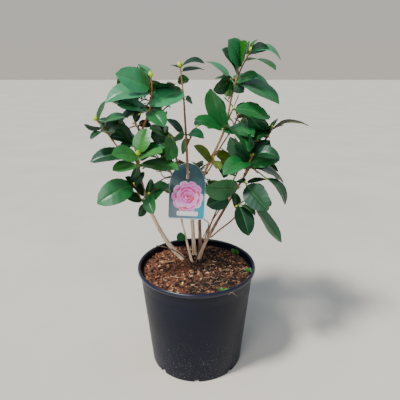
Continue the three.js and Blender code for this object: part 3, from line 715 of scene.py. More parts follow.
class Shape:
    """Points, faces and material numbers of one joined mesh, in millimetres."""

    def __init__(self):
        self.points, self.faces, self.marks = [], [], []
        self.count = 0

    def add(self, points, faces, marks=0):
        """Adds faces with one material number for all of them, or one for each."""
        self.faces += [[k + self.count for k in face] for face in faces]
        self.marks += [marks] * len(faces) if isinstance(marks, int) else list(marks)
        self.points.append(np.asarray(points, float))
        self.count += len(points)

    def add_rings(self, rings, ends, mark=0, down=False):
        """Adds a closed surface that runs up, or down, through rings between two end points."""
        rings = np.asarray(rings, float)
        count = rings.shape[0] * rings.shape[1]
        numbers = np.pad(np.arange(count).reshape(rings.shape[:2]), ((0, 0), (0, 1)), mode="wrap")
        faces = closed_faces(numbers, count, count + 1)
        if down:
            faces = [[face[0], *face[:0:-1]] for face in faces]
        self.add(np.concatenate([rings.reshape(-1, 3), ends]), faces, mark)


def put(name, data):
    """A new object in the scene."""
    made = bpy.data.objects.new(name, data)
    bpy.context.scene.collection.objects.link(made)
    return made


def put_mesh(name, shape):
    """A new mesh object in metres from a shape."""
    mesh = bpy.data.meshes.new(name)
    mesh.from_pydata((np.concatenate(shape.points) * MM).tolist(), [], shape.faces)
    return put(name, mesh)


def make_piece(name, shape, materials, slot, nodes=(), crease=50):
    """A piece of the plant or its pot, which rides on the part's one body."""
    piece = put_mesh(name, shape)
    mesh = piece.data
    for material in materials:
        mesh.materials.append(material)
    mesh.polygons.foreach_set("material_index", shape.marks)
    mesh.shade_smooth()
    mesh.set_sharp_from_angle(angle=math.radians(crease))
    mesh.update()
    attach(piece, "root")
    if nodes:
        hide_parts(*nodes)
    return piece


def spread(points, spacing):
    """The line through the points again, with even steps and its corners eased, and its stops."""
    points = np.asarray(points, float)
    run = run_along(points)
    stops = np.linspace(0, run[-1], max(3, round(run[-1] / spacing) + 1))
    line = np.stack([np.interp(stops, run, points[:, k]) for k in range(3)], axis=1)
    for _ in range(2):
        line[1:-1] = (line[:-2] + 2 * line[1:-1] + line[2:]) / 4
    return line, stops


def add_tube(shape, line, radii, sides, mark=0):
    """A tube with no twist round a line. Radii are one for each point, or one for each point and side."""
    headings = np.gradient(line, axis=0)
    headings /= np.sqrt((headings ** 2).sum(axis=1))[:, None]
    u = vec(1, 0, 0) if abs(headings[0][0]) < 0.9 else vec(0, 1, 0)
    rings = []
    for point, heading, radius in zip(line, headings, radii):
        u = unit(u - heading * float(u @ heading))
        cos, sin = (radius * part for part in circle(sides))
        rings.append(point + u * cos[:, None] + np.cross(heading, u) * sin[:, None])
    shape.add_rings(rings, [line[0], line[-1]], mark)


def wrinkle(distance, angle, around, along, offset):
    """Smooth noise on the side of a tube, from -1 to 1."""
    x, y = math.cos(angle) * around + offset, math.sin(angle) * around
    return noise.noise(Vector((x, y, distance * along)))


def fading(distance, reach):
    """1 up to the start of a line, and less the further past it."""
    return math.exp(-max(distance, 0) / reach)


# Limbs: a mesh with the bark's wrinkles, rings of old leaf scars and a root flare
SIDES = {"limb": 20, "twig": 9, "stalk": 7, "bud": 10, "fibre": 4, "stick": 6}
SINK = 9
# Extra radius at the foot of a stem from the mix and of a bough: share and reach
ROOT_FLARE = ((0.3, 10), (0.22, 90))
BOUGH_FLARE = ((0.6, 4),)
# Rings of leaf scars on a limb and knots at a twig's nodes, which rise by a share of the radius
RINGS = {"rise": 0.09, "wide": 1.8, "near": 8, "apart": (16, 34), "most": 40}
KNOTS = {"rise": 0.3, "wide": 1.6, "foot": 0.5, "grain": 0.06}
# Wrinkles of the bark: depth, waves round the limb and along it, and place in the noise
RELIEFS = ((0.07, 1.4, 0.05, 0), (0.05, 5, 0.12, 9), (0.03, 3, 0.9, 17))


def limb_radii(branch, stops, start, rooted, seed):
    """Radius at each stop and side: taper, foot, rings and wrinkles."""
    rings = np.cumsum(np.random.default_rng(seed).uniform(*RINGS["apart"], RINGS["most"]))
    out = []
    for d in stops - start:
        foot = sum(share * fading(d, reach) for share, reach in (ROOT_FLARE if rooted else BOUGH_FLARE))
        ring = sum(RINGS["rise"] * math.exp(-((d - r) / RINGS["wide"]) ** 2)
                   for r in rings if abs(d - r) < RINGS["near"])
        angles = [j * 2 * math.pi / SIDES["limb"] for j in range(SIDES["limb"])]
        relief = np.array([sum(depth * wrinkle(d, angle, around, along, seed + offset)
                               for depth, around, along, offset in RELIEFS) for angle in angles])
        out.append(branch.radius(d) * (1 + foot + ring + relief))
    return out


def add_limb(shape, branch, seed):
    rooted = branch.root is None
    lead = branch.line[0] - UP * SINK if rooted else branch.root
    line, stops = spread([lead, *branch.line], 2.4)
    start = length(lead - branch.line[0])
    add_tube(shape, line, limb_radii(branch, stops, start, rooted, seed), SIDES["limb"])


def add_twig(shape, twig, mark):
    """A thin twig from inside its limb to its bud, thicker at each node."""
    line, stops = spread([twig.root, *twig.line], 2.2)
    start = length(twig.root - twig.line[0])
    radii = []
    for stop in stops:
        d = stop - start
        swell = sum(KNOTS["rise"] * math.exp(-((d - node) / KNOTS["wide"]) ** 2) for node in twig.nodes)
        grain = KNOTS["grain"] * wrinkle(d, 0, 1, 0.4, twig.total)
        radii.append(twig.radius(d) * (1 + swell + KNOTS["foot"] * fading(stop, 3) + grain))
    add_tube(shape, line, radii, SIDES["twig"], mark)


# Leaves: rows of points follow the side veins, so that a row can lie low as a vein
ROWS = 24
VEIN_ROWS = 3
COLUMNS = (-1, -0.82, -0.56, -0.3, -0.06, 0, 0.06, 0.3, 0.56, 0.82, 1)
MIDRIB_COLUMNS = (4, 5)
VEIN_SWEEP = 0.15
VEIN_DEPTH = 0.45
GROOVE = -0.35
KEEL = -0.45
UNDER_QUILT = 0.6
PETIOLE = 5
STALK_RADII = (1.5, 1.15, 1.05, 1, 0.7)
BLADE_THICK = 0.7
BLADE_RANGES = {"wave": (0.02, 0.07), "waves": (0.8, 1.6), "cup": (0.1, 0.32), "twist": (-0.2, 0.2),
                "bend": (-0.035, 0.035)}


def blade_outline(u):
    """Half the width of the blade at a fraction of its length, 1 at the widest."""
    body = np.sin(math.pi * np.clip(u, 0, 1) ** 0.92) ** 0.52 * (1 - 0.12 * u ** 4)
    t = np.clip((u - 0.88) / 0.1, 0, 1)
    return body * (1 - 0.35 * t * t * (3 - 2 * t))


class Blade:
    """The grid of a leaf's blade: base, tip, the upper sheet's rows, then the lower sheet's inner ones."""

    def __init__(self):
        rows, wide = np.arange(1, ROWS)[:, None], len(COLUMNS)
        t = rows / ROWS
        u = t - 0.055 * np.sin(2 * math.pi * t)
        self.q = np.array(COLUMNS)[None, :]
        self.u = u + VEIN_SWEEP * np.abs(self.q) ** 1.2 * 4 * u * (1 - u)
        self.vein = np.where(rows % VEIN_ROWS == 0, -1.0, 0.5)
        self.tooth = np.where(rows % 2 == 0, 1.0, 0.975) ** np.abs(self.q) ** 6
        upper = 2 + np.arange((ROWS - 1) * wide).reshape(ROWS - 1, wide)
        lower = upper.copy()
        lower[:, 1:-1] = 2 + upper.size + np.arange((ROWS - 1) * (wide - 2)).reshape(ROWS - 1, wide - 2)
        self.faces = [face[::-1] for face in closed_faces(upper, 0, 1)] + closed_faces(lower, 0, 1)
        midrib = [int(j in MIDRIB_COLUMNS) for j in range(wide - 1)]
        self.kinds = midrib * ROWS + [2 + kind for kind in midrib] * ROWS


BLADE = Blade()


def add_leaf(shape, leaf, marks, rng):
    """A petiole and a blade. The marks are those of upper side, its midrib, under side, its midrib."""
    def draw(name):
        return rng.uniform(*BLADE_RANGES[name])

    start = min(PETIOLE / leaf.long, 0.16)
    stalk = leaf.middle(np.linspace(0, start + 0.02, len(STALK_RADII)))
    add_tube(shape, stalk, np.array(STALK_RADII) * min(1, leaf.long / 40), SIDES["stalk"], marks[3])
    u, q, across = BLADE.u, BLADE.q, np.abs(BLADE.q)
    half = leaf.half * BLADE_WIDE * blade_outline(u) * BLADE.tooth
    x = np.where(across < 0.1, np.sign(q) * np.minimum(0.95 - 0.55 * u, 0.2 * half), q * half)
    wave = draw("wave") * np.sin(2 * math.pi * (draw("waves") * u + rng.random()))
    cup = draw("cup")
    z = leaf.fold * (np.abs(x) * (1 + cup) - cup * x * x / np.maximum(half, 0.1)) + wave * half * q * q
    quilt = VEIN_DEPTH * BLADE.vein * (half / leaf.half) * np.minimum(1, 3.2 * across * (1.02 - across))
    groove = np.where(q == 0, GROOVE, 0.0)
    keel = np.where(across < 0.1, KEEL, 0.0) + groove
    thick = BLADE_THICK * (1 - across ** 6) * np.minimum(1, half / 4)
    s = start + (1 - start) * u
    twist = draw("twist") * (s - 0.5) * 4 * s * (1 - s)
    side = leaf.side * np.cos(twist)[..., None] + leaf.normal * np.sin(twist)[..., None]
    bend = draw("bend") * leaf.long * 4 * s * (1 - s)
    sheet = leaf.middle(s) + side * x[..., None] + leaf.side * bend[..., None]
    upper = sheet + leaf.normal * (z + quilt + groove)[..., None]
    lower = sheet + leaf.normal * (z + quilt * UNDER_QUILT + keel - thick)[..., None]
    points = [[leaf.middle(start), leaf.tip], upper.reshape(-1, 3), lower[:, 1:-1].reshape(-1, 3)]
    shape.add(np.concatenate(points), BLADE.faces, [marks[k] for k in BLADE.kinds])


BUD_SCALES = 9
GOLDEN_TURN = 2.4
SCALE_ROWS = 6
SCALE_ACROSS = (-1, -0.5, 0, 0.5, 1)


def add_bud(shape, point, heading, long, wide):
    """A bud of overlapping scales round a pointed core."""
    u = unit(np.cross(heading, vec(0.3, 0.5, 0.8)))
    v = np.cross(heading, u)

    def at(t, angle, out):
        radius = wide * math.sin(math.pi * min(max(t, 0), 1) ** 0.75) ** 0.7 * out
        return point + heading * (long * t) + (u * math.cos(angle) + v * math.sin(angle)) * radius

    core = [point - heading * 2] + [point + heading * (long * t) for t in np.linspace(0.02, 1, 9)]
    widths = [0.8] + [wide * 0.94 * math.sin(math.pi * t ** 0.75) ** 0.7 + 0.05
                      for t in np.linspace(0.02, 0.995, 9)]
    add_tube(shape, core, widths, SIDES["bud"], 1)
    for k in range(BUD_SCALES):
        low = 0.5 * k / BUD_SCALES
        grid = []
        for b in np.arange(SCALE_ROWS) / (SCALE_ROWS - 1):
            spread_angle = 1.05 * math.sqrt(max(0.0, 1 - b ** 2.2))
            for a in SCALE_ACROSS:
                out = 1.12 - 0.1 * k / BUD_SCALES + 0.05 * b - 0.04 * abs(a)
                grid.append(at(between(low, min(1.0, low + 0.58), b),
                               GOLDEN_TURN * k + a * spread_angle, out))
        shape.add(grid, grid_faces(np.arange(len(grid)).reshape(SCALE_ROWS, -1)))


# Materials
def colour(code):
    """A colour from its six-digit code, in Blender's linear numbers."""
    parts = [int(code[i:i + 2], 16) / 255 for i in (1, 3, 5)]
    return [c / 12.92 if c <= 0.04045 else ((c + 0.055) / 1.055) ** 2.4 for c in parts] + [1.0]


def add_node(tree, kind, output, inputs, **settings):
    """The output of a new shader node, with its settings made and its inputs linked or set."""
    made = tree.nodes.new("ShaderNode" + kind)
    for name, value in settings.items():
        setattr(made, name, value)
    for name, value in inputs.items():
        if isinstance(value, bpy.types.NodeSocket):
            tree.links.new(value, made.inputs[name])
        else:
            made.inputs[name].default_value = value
    return made.outputs[output]


def add_ramp(tree, source, *stops):
    """Colours between stops, each a position and a colour code."""
    made = add_node(tree, "ValToRGB", "Color", {"Fac": source})
    elements = made.node.color_ramp.elements
    while len(elements) < len(stops):
        elements.new(0.5)
    for element, (position, code) in zip(elements, stops):
        element.position = position
        element.color = colour(code)
    return made


class Finish:
    """A material on one Principled shader. Further sockets are set by name."""

    def __init__(self, name, roughness, **sockets):
        self.material = bpy.data.materials.new(name)
        self.material.use_nodes = True
        self.tree = self.material.node_tree
        self.shader = self.tree.nodes["Principled BSDF"]
        self.shader.inputs["Roughness"].default_value = roughness
        for key, value in sockets.items():
            self.shader.inputs[key.replace("_", " ")].default_value = value
        self.place = add_node(self.tree, "TexCoord", "Object", {})

    def noise(self, scale, detail=3, stretch=(1, 1, 1), roughness=0.55):
        """Noise in object space, in features per metre."""
        place = add_node(self.tree, "Mapping", "Vector", {"Scale": stretch, "Vector": self.place})
        return add_node(self.tree, "TexNoise", "Fac",
                        {"Scale": scale, "Detail": detail, "Roughness": roughness, "Vector": place})

    def ramp(self, source, *stops):
        return add_ramp(self.tree, source, *stops)

    def mix(self, factor, first, second):
        return add_node(self.tree, "Mix", "Result", {"Factor": factor, "A": first, "B": second},
                        data_type="RGBA")

    def span(self, axis, low, high):
        """0 below one place on an axis and 1 above another, in metres."""
        place = add_node(self.tree, "SeparateXYZ", axis, {"Vector": self.place})
        return add_node(self.tree, "MapRange", "Result", {"From Min": low, "From Max": high, "Value": place})

    def times(self, first, second):
        return add_node(self.tree, "Math", "Value", {0: first, 1: second}, operation="MULTIPLY")

    def wire(self, source, socket):
        self.tree.links.new(source, self.shader.inputs[socket])
        return self

    def paint(self, source):
        return self.wire(source, "Base Color")

    def rough(self, source, low, high):
        values = {"To Min": low, "To Max": high, "Value": source}
        return self.wire(add_node(self.tree, "MapRange", "Result", values), "Roughness")

    def bump(self, source, strength, distance):
        values = {"Strength": strength, "Distance": distance, "Height": source}
        return self.wire(add_node(self.tree, "Bump", "Normal", values), "Normal")


def leaf_finish(name, dark, light, roughness, coat, specular=0.55):
    """One leaf colour, a little uneven, with a fine grain."""
    made = Finish(name, roughness, Specular_IOR_Level=specular, Specular_Tint=(0.72, 0.93, 0.95, 1),
                  Coat_Weight=coat, Coat_Roughness=0.3)
    made.paint(made.ramp(made.noise(26, 2), (0.3, dark), (0.7, light)))
    return made.bump(made.noise(900, 2), 0.12, 0.0004).material


def bark_finish(name, old, young, roughness=0.72, change=(0.40, 0.56)):
    """Bark with streaks along it, from old wood low down to young wood above the change. For the main bark
    the darker colours above are also painted shade.
    """
    made = Finish(name, roughness)
    streaks = made.noise(170, 4, (1, 1, 0.16))
    low = made.ramp(streaks, *zip((0.28, 0.5, 0.74), old))
    high = made.ramp(streaks, *zip((0.3, 0.7), young))
    made.paint(made.mix(made.span("Z", *change), low, high))
    return made.bump(made.noise(420, 5, (1, 1, 0.35)), 0.5, 0.0008).material


def plain_finish(name, code, roughness, **sockets):
    """One colour with a fine grain."""
    made = Finish(name, roughness, Base_Color=colour(code), **sockets)
    return made.bump(made.noise(700, 3), 0.15, 0.0004).material


def plain_finishes(name, codes, roughness, **sockets):
    """Materials of one colour each, with numbered names."""
    return [plain_finish("%s_%d" % (name, i), code, roughness, **sockets) for i, code in enumerate(codes)]


# Colours between which a leaf varies, roughness, coat and specular level
LEAF_LOOKS = {
    "leaf_deep": ("#083017", "#10421e", 0.4, 0.1),
    "leaf_mid": ("#135022", "#1d652c", 0.4, 0.1),
    # pale is a lighter bluish green: painted sheen of the sky on leaves that face the viewer
    "leaf_pale": ("#277044", "#388656", 0.4, 0.1),
    # light is a lighter green: painted light on leaves that lie in shade
    "leaf_light": ("#28682c", "#397c38", 0.4, 0.1),
    "leaf_fresh": ("#1d5c0c", "#2c700f", 0.42, 0.1),
    "leaf_olive": ("#4c641a", "#6b7d28", 0.45, 0.05),
    # shade is a near black green: painted shade on leaves that lie in shadow or are seen from below
    "leaf_shade": ("#052210", "#0b3218", 0.6, 0, 0.3),
    "leaf_dry": ("#3d3615", "#564c20", 0.65, 0),
    "leaf_under": ("#2f5428", "#436b34", 0.5, 0.05),
    # The olive underside is yellower and brighter than the leaf above: partly its own paler underside and
    # partly painted glow of light shining through the leaf
    "leaf_under_olive": ("#7f8a24", "#9aa03a", 0.5, 0.05),
    "midrib": ("#2f6128", "#437636", 0.42, 0.1),
    "midrib_under": ("#5f7338", "#778a48", 0.5, 0.05),
}
LEAF_MATERIALS = [leaf_finish(name, *look) for name, look in LEAF_LOOKS.items()]
TWIG_MATERIALS = [bark_finish("twig_wood", ("#7d5a3e", "#94704f", "#ad8a68"), ("#80522d", "#a97641")),
                  leaf_finish("twig_green", "#4b3f22", "#6a5c30", 0.5, 0.05)]
BUD_MATERIALS = [leaf_finish("bud_scale", "#aabf24", "#cbdc3e", 0.38, 0.2, 0.4),
                 leaf_finish("bud_core", "#7f9a28", "#9cb23a", 0.45, 0.1)]
# Above the change the stems' dark reddish brown is partly young wood's own colour and partly painted shade
# under the crown.
BARK = bark_finish("bark", ("#b89878", "#dcc2a6", "#f0dfca"), ("#6e4630", "#97694a"))
RED_BARK = bark_finish("red_bark", ("#a98a6c", "#cdb094", "#e2cdb6"), ("#4f3022", "#80583f"),
                       change=(0.28, 0.37))
PALE_BARK = bark_finish("pale_bark", ("#6e4a36", "#94705a", "#b8937a"), ("#9c7550", "#c9a175"))
DEAD_BARK = bark_finish("dead_bark", ("#3d2e24", "#5f4a3a", "#8a735e"), ("#3d2e24", "#6a5443"), 0.85)


def leaf_marks(tint):
    """Material numbers of a leaf: upper side, its midrib, under side, its midrib."""
    # Leaves of painted shade get the darker mid green on the midrib, also painted shade.
    midrib = "leaf_mid" if tint == "shade" else "midrib"
    under = "leaf_under_olive" if tint in ("olive", "fresh") else "leaf_under"
    return [list(LEAF_LOOKS).index(name) for name in ("leaf_" + tint, midrib, under, "midrib_under")]


# The plant
def dress_limbs():
    for i, (name, branch) in enumerate(grown.items()):
        shape = Shape()
        add_limb(shape, branch, i + 1)
        bark, slot = BARK, "bark"
        if name.startswith("dead"):
            bark, slot = DEAD_BARK, "dead_bark"
        elif name == "stem_tall":
            bark = PALE_BARK
        elif name == "stem_right" or name.startswith("bough_low"):
            bark = RED_BARK
        make_piece("bark_" + name, shape, [bark], slot, [name], crease=70)


BUD_SIZES = {"big": (14, 5.2), "shoot": (7, 2), "sprig": (4.5, 1.3)}
BIG_BUDS = ("leaves_left_top", "leaves_left_outer", "leaves_left_middle", "leaves_middle_top",
            "leaves_right_top")


def side_of(mass):
    """The piece that holds the leaves of a mass."""
    if "rear" in mass.name or "back" in mass.name:
        return "leaves_rear"
    return "leaves_left" if mass.twigs[0].line[-1][0] < -20 else "leaves_right"


def dress_masses():
    rng = np.random.default_rng(11)
    leaves = {"leaves_left": Shape(), "leaves_right": Shape(), "leaves_rear": Shape()}
    twigs, buds = Shape(), Shape()
    for mass in crown.masses:
        for leaf in mass.leaves:
            tint = leaf.tint or rng.choice(["deep", "mid", "fresh"], p=[0.7, 0.26, 0.04])
            add_leaf(leaves[side_of(mass)], leaf, leaf_marks(tint), rng)
        for i, twig in enumerate(mass.twigs):
            add_twig(twigs, twig, 1 if i else 0)
            point, heading, _ = twig.at(math.inf)
            big = i == 0 and mass.name in BIG_BUDS
            add_bud(buds, point, heading, *BUD_SIZES["big" if big else "shoot" if twig.tips else "sprig"])
    for name, shape in leaves.items():
        own = [mass.name for mass in crown.masses if side_of(mass) == name]
        make_piece(name, shape, LEAF_MATERIALS, "foliage", own, crease=60)
    masses = [mass.name for mass in crown.masses]
    make_piece("twigs", twigs, TWIG_MATERIALS, "foliage", masses, crease=70)
    make_piece("buds", buds, BUD_MATERIALS, "foliage", masses, crease=50)


def dress_low_leaf():
    """The single round leaf that grows low on the thin stem."""
    shape = Shape()
    stem = grown["stem_thin"]
    leaf = Leaf(stem.at(run_up_to(stem, 337))[0], vec(-50, 18, 328), Seeded(40))
    leaf.show(24, "mid", 0.05)
    add_leaf(shape, leaf, leaf_marks(leaf.tint), np.random.default_rng(40))
    make_piece("low_leaf", shape, LEAF_MATERIALS, "foliage", crease=60)


dress_limbs()
dress_masses()
dress_low_leaf()


# The pot
POT_SIDES = 160
BEAD_CENTRE = (146.1, 267.6)
BEAD_RADII = (3.9, 5.4)
RIM_LOW, RIM_IN = 0.2625, 0.1425


def pot_profile():
    """Radius and height from under the floor, up the outside, over the rolled rim and down inside."""
    slope = (POT["top"] - POT["foot"]) / (UNDER_RIM - 2.5)
    foot = [(0, 0), (POT["foot"] - 2.6, 0), (POT["foot"] - 0.9, 0.5), (POT["foot"] - 0.2, 1.4)]
    wall = [(POT["foot"] + slope * (z - 2.5), z) for z in np.linspace(2.5, 240, 20)]
    collar = [(POT["foot"] + slope * 239 + 0.5, 242), (POT["top"] + 0.5, UNDER_RIM - 1),
              (POT["top"] + 0.9, UNDER_RIM + 0.6)]
    bead = [(BEAD_CENTRE[0] + BEAD_RADII[0] * math.cos(a), BEAD_CENTRE[1] + BEAD_RADII[1] * math.sin(a))
            for a in map(math.radians, range(-80, 211, 15))]
    inside = [(POT["top"] - POT["wall"], UNDER_RIM - 4), (POT["foot"] - POT["wall"], POT["floor"])]
    return [*foot, *wall, *collar, *bead, *inside, (0, POT["floor"])]


def add_notch(shape, turn):
    """One drain notch's cutter."""
    w, h = NOTCH["width"] / 2, NOTCH["height"]
    corners = [(x, y - POT["foot"], z + POT["floor"]) for x in (-w, w) for y in (-15, 15) for z in (-h, h)]
    faces = [(0, 1, 3, 2), (4, 6, 7, 5), (0, 4, 5, 1), (2, 3, 7, 6), (0, 2, 6, 4), (1, 5, 7, 3)]
    shape.add(np.array(corners) @ turn_about(2, turn).T, faces)


def pot_finish():
    """Satin black plastic with a bloom of dust, thicker towards the foot."""
    made = Finish("pot_plastic", 0.42, Specular_IOR_Level=0.22)
    body = made.ramp(made.noise(9, 3), (0.3, "#04081a"), (0.7, "#080e22"))
    specks = made.ramp(made.noise(430, 1, roughness=0.4), (0.67, "#000000"), (0.73, "#ffffff"))
    low = made.ramp(made.span("Z", 0.17, 0.0), (0.0, "#000000"), (1.0, "#ffffff"))
    made.paint(made.mix(made.times(specks, low), body, colour("#7b8087")))
    made.rough(made.noise(22, 4), 0.36, 0.5)
    return made.bump(made.noise(260, 3), 0.12, 0.0006).material


def rim_finish():
    """The rolled rim, worn smoother than the wall."""
    made = Finish("pot_rim", 0.3, Specular_IOR_Level=0.5)
    made.paint(made.ramp(made.noise(30, 3), (0.3, "#070d20"), (0.7, "#0c1530")))
    return made.bump(made.noise(200, 3), 0.1, 0.0006).material


def dress_pot():
    shape, cutters = Shape(), Shape()
    profile = pot_profile()
    cos, sin = circle(POT_SIDES)
    rings = [np.stack([r * cos, r * sin, np.full(POT_SIDES, z)], axis=1) for r, z in profile[1:-1]]
    shape.add_rings(rings, [(0, 0, profile[0][1]), (0, 0, profile[-1][1])])
    pot = make_piece("nursery_pot", shape, [pot_finish(), rim_finish()], "pot_plastic", ["pot"], crease=40)
    for i in range(NOTCH["count"]):
        add_notch(cutters, i / NOTCH["count"] * 2 * math.pi)
    cutter = put_mesh("notches", cutters)
    cut = pot.modifiers.new("cut", "BOOLEAN")
    cut.object = cutter
    cut.solver = "EXACT"
    result = bpy.data.meshes.new_from_object(pot.evaluated_get(bpy.context.evaluated_depsgraph_get()))
    pot.modifiers.clear()
    pot.data = result
    bpy.data.objects.remove(cutter)
    for face in result.polygons:
        x, y, z = face.center
        face.material_index = int(z > RIM_LOW and math.hypot(x, y) > RIM_IN)


dress_pot()


# The potting mix
MIX_SIDES, MIX_RINGS = 220, 84
SHOULDER_DROP = 2
# Lumps and grains of the mix: size, place in the noise, roughness, scale step and height
LUMPS = ((26, 3.1, 1.0, 2.1, 2.1), (5, 7.7, 0.9, 2.0, 1.1))


def mix_height(x, y):
    """Height of the mix at a place, with its lumps."""
    heights = [MIX["middle"], MIX["middle"], MIX["middle"] - SHOULDER_DROP, MIX["edge"]]
    flat = np.interp(math.hypot(x, y), [0, MIX["flat"], MIX["shoulder"], MIX["wide"]], heights)
    return float(flat) + sum(height * noise.fractal(Vector((x / size, y / size, z)), rough, step, 3)
                             for size, z, rough, step, height in LUMPS)


def dress_mix():
    shape = Shape()
    inner = POT["foot"] - POT["wall"] - GAP
    floor = POT["floor"] + GAP
    wide = inner + (POT["top"] - POT["foot"]) * (MIX["edge"] - POT["floor"]) / (UNDER_RIM - POT["floor"])
    cos, sin = circle(MIX_SIDES)
    rings = [[(x, y, mix_height(x, y)) for x, y in zip(r * cos, r * sin)]
             for r in wide * np.arange(1, MIX_RINGS + 1) / MIX_RINGS]
    rings.append([(x, y, floor) for x, y in zip(inner * cos, inner * sin)])
    shape.add_rings(rings, [(0, 0, mix_height(0, 0)), (0, 0, floor)], down=True)
    made = Finish("potting_mix", 0.95)
    red = made.ramp(made.noise(150, 4), (0.32, "#1f0f08"), (0.5, "#55301f"), (0.7, "#8c5a40"))
    # The near black colours, laid in patches right of the middle, are painted shade of the crown over the
    # mix.
    dark = made.ramp(made.noise(170, 4), (0.35, "#060403"), (0.6, "#160d09"), (0.8, "#38241b"))
    patch = made.ramp(made.noise(16, 2), (0.4, "#3a3a3a"), (0.6, "#ffffff"))
    made.paint(made.mix(made.times(patch, made.span("X", -0.06, 0.02)), red, dark))
    made.bump(made.noise(600, 5), 0.8, 0.002)
    make_piece("mix_surface", shape, [made.material], "potting_mix", ["potting_mix"], crease=180)


def icosahedron():
    """Its corners as unit vectors, and its faces."""
    g = (1 + math.sqrt(5)) / 2
    points = [(-1, g, 0), (1, g, 0), (-1, -g, 0), (1, -g, 0), (0, -1, g), (0, 1, g), (0, -1, -g), (0, 1, -g),
              (g, 0, -1), (g, 0, 1), (-g, 0, -1), (-g, 0, 1)]
    faces = [(0, 11, 5), (0, 5, 1), (0, 1, 7), (0, 7, 10), (0, 10, 11), (1, 5, 9), (5, 11, 4), (11, 10, 2),
             (10, 7, 6), (7, 1, 8), (3, 9, 4), (3, 4, 2), (3, 2, 6), (3, 6, 8), (3, 8, 9), (4, 9, 5),
             (2, 4, 11), (6, 2, 10), (8, 6, 7), (9, 8, 1)]
    return [unit(vec(*point)) for point in points], faces


def split_ball(points, faces):
    """A ball of unit vectors with each face split into four."""
    points, split, numbers = list(points), [], {}

    def middle(a, b):
        key = (min(a, b), max(a, b))
        if key not in numbers:
            numbers[key] = len(points)
            points.append(unit(points[a] + points[b]))
        return numbers[key]

    for a, b, c in faces:
        ab, bc, ca = middle(a, b), middle(b, c), middle(c, a)
        split += [(a, ab, ca), (b, bc, ab), (c, ca, bc), (ab, bc, ca)]
    return points, split


COARSE = icosahedron()
FINE = split_ball(*COARSE)


def add_chunk(shape, rng, place, lift, size, ball, mark, jag=0.22, tilt=35):
    """An angular lump of some length, width and height, turned and tilted some degrees at random."""
    points, faces = ball
    lumpy = np.array(points) * rng.uniform(1 - jag, 1 + jag, len(points))[:, None] * (np.array(size) / 2)
    around = rng.uniform(0, 2 * math.pi)
    tilts = [math.radians(rng.normal(0, tilt)) for _ in range(2)]
    turn = turn_about(2, around) @ turn_about(0, tilts[0]) @ turn_about(1, tilts[1])
    shape.add(lumpy @ turn.T + vec(*place, mix_height(*place) + lift), faces, mark)


def places(rng, count, low, high):
    """Random places on the mix between two radii."""
    for _ in range(count):
        r = math.sqrt(rng.uniform(low * low, high * high))
        a = rng.uniform(0, 2 * math.pi)
        yield r * math.cos(a), r * math.sin(a)


def add_thread(shape, points, radius, sides, mark):
    line, stops = spread(smooth_line(points, 6), 1.6)
    add_tube(shape, line, radius * (1 - 0.5 * (stops / stops[-1]) ** 2), sides, mark)


# Sticks and fibres that show in the photo: their points, radius and tone
STICKS = [
    ([(-60, 24, 264), (-76, 17, 266), (-93, 10, 267)], 1.3, 1),
    ([(-122, -40, 263), (-104, -43, 266), (-85, -40, 265)], 1, 0),
    ([(74, -132, 262), (80, -142, 275), (90, -148, 270)], 0.35, 1),
    ([(-64, -52, 264), (-48, -60, 265), (-30, -58, 264)], 0.9, 1),
    ([(60, -30, 264), (74, -22, 266), (92, -24, 263)], 0.8, 1),
]
# Number of each kind of litter, and the radii that it lies between
LITTER = {"crumbs": (2600, 6, 139), "chips": (190, 10, 137), "perlite": (34, 10, 138),
          "fibres": (260, 15, 132)}
PERLITE_MARK = 3
FIBRE_REACH = 136


def fibre_points(rng, x, y):
    """A short crooked line that lies on the mix, cut off at the pot's wall."""
    a, long = rng.uniform(0, 2 * math.pi), rng.uniform(9, 30)
    if rng.random() < 0.6:
        x = abs(x)
    points = []
    for t in (-0.5, -0.2, 0.15, 0.5):
        px = x + long * t * math.cos(a) + rng.normal(0, 1.6)
        py = y + long * t * math.sin(a) + rng.normal(0, 1.6)
        if math.hypot(px, py) > FIBRE_REACH:
            break
        points.append((px, py, mix_height(px, py) + rng.uniform(0.4, 3)))
    return points


def dress_litter():
    """Crumbs, bark chips, perlite, sticks and fibres that lie on the mix."""
    rng = np.random.default_rng(5)
    crumbs, chips, fibres = Shape(), Shape(), Shape()
    for x, y in places(rng, *LITTER["crumbs"]):
        size = rng.gamma(3, 0.95) + 0.9
        # More crumbs are dark to the right, as painted shade of the crown, and towards the front.
        dark = rng.random() < 0.42 + 0.42 * (x > -15) + 0.14 * (y < -50)
        mark = int(rng.choice([0, 1])) if dark else int(rng.choice([2, 3], p=[0.75, 0.25]))
        add_chunk(crumbs, rng, (x, y), 0.1 * size, size * rng.uniform(0.6, 1.3, 3), COARSE, mark)
    for place in places(rng, *LITTER["chips"]):
        long = rng.uniform(4, 13)
        size = (long, long * rng.uniform(0.3, 0.6), rng.uniform(1.2, 2.6))
        add_chunk(chips, rng, place, 0.6, size, FINE, int(rng.choice([0, 1, 2])), 0.14, 16)
    for place in places(rng, *LITTER["perlite"]):
        add_chunk(chips, rng, place, 0.5, rng.uniform(1.4, 3, 3), FINE, PERLITE_MARK)
    for x, y in places(rng, *LITTER["fibres"]):
        points = fibre_points(rng, x, y)
        if len(points) > 2:
            add_thread(fibres, points, rng.uniform(0.25, 0.5), SIDES["fibre"], int(rng.choice([0, 1])))
    for points, radius, tone in STICKS:
        add_thread(fibres, points, radius, SIDES["stick"], tone)
    browns = plain_finishes("crumb", ("#0c0705", "#1c110c", "#6a3a24", "#a8714e"), 0.95)
    woods = plain_finishes("chip", ("#5c3421", "#8f6142", "#c49c74", "#d9cdbb"), 0.85)
    threads = plain_finishes("fibre", ("#6b4a36", "#a98c6c"), 0.9)
    make_piece("mix_crumbs", crumbs, browns, "potting_mix", crease=30)
    make_piece("mix_chips", chips, woods, "potting_mix", crease=30)
    make_piece("mix_fibres", fibres, threads, "potting_mix", crease=60)


# Place of each weed, number of its leaves and their length
WEEDS = [((131, -20), 5, 15), ((108, 88), 6, 17), ((62, -112), 2, 15)]


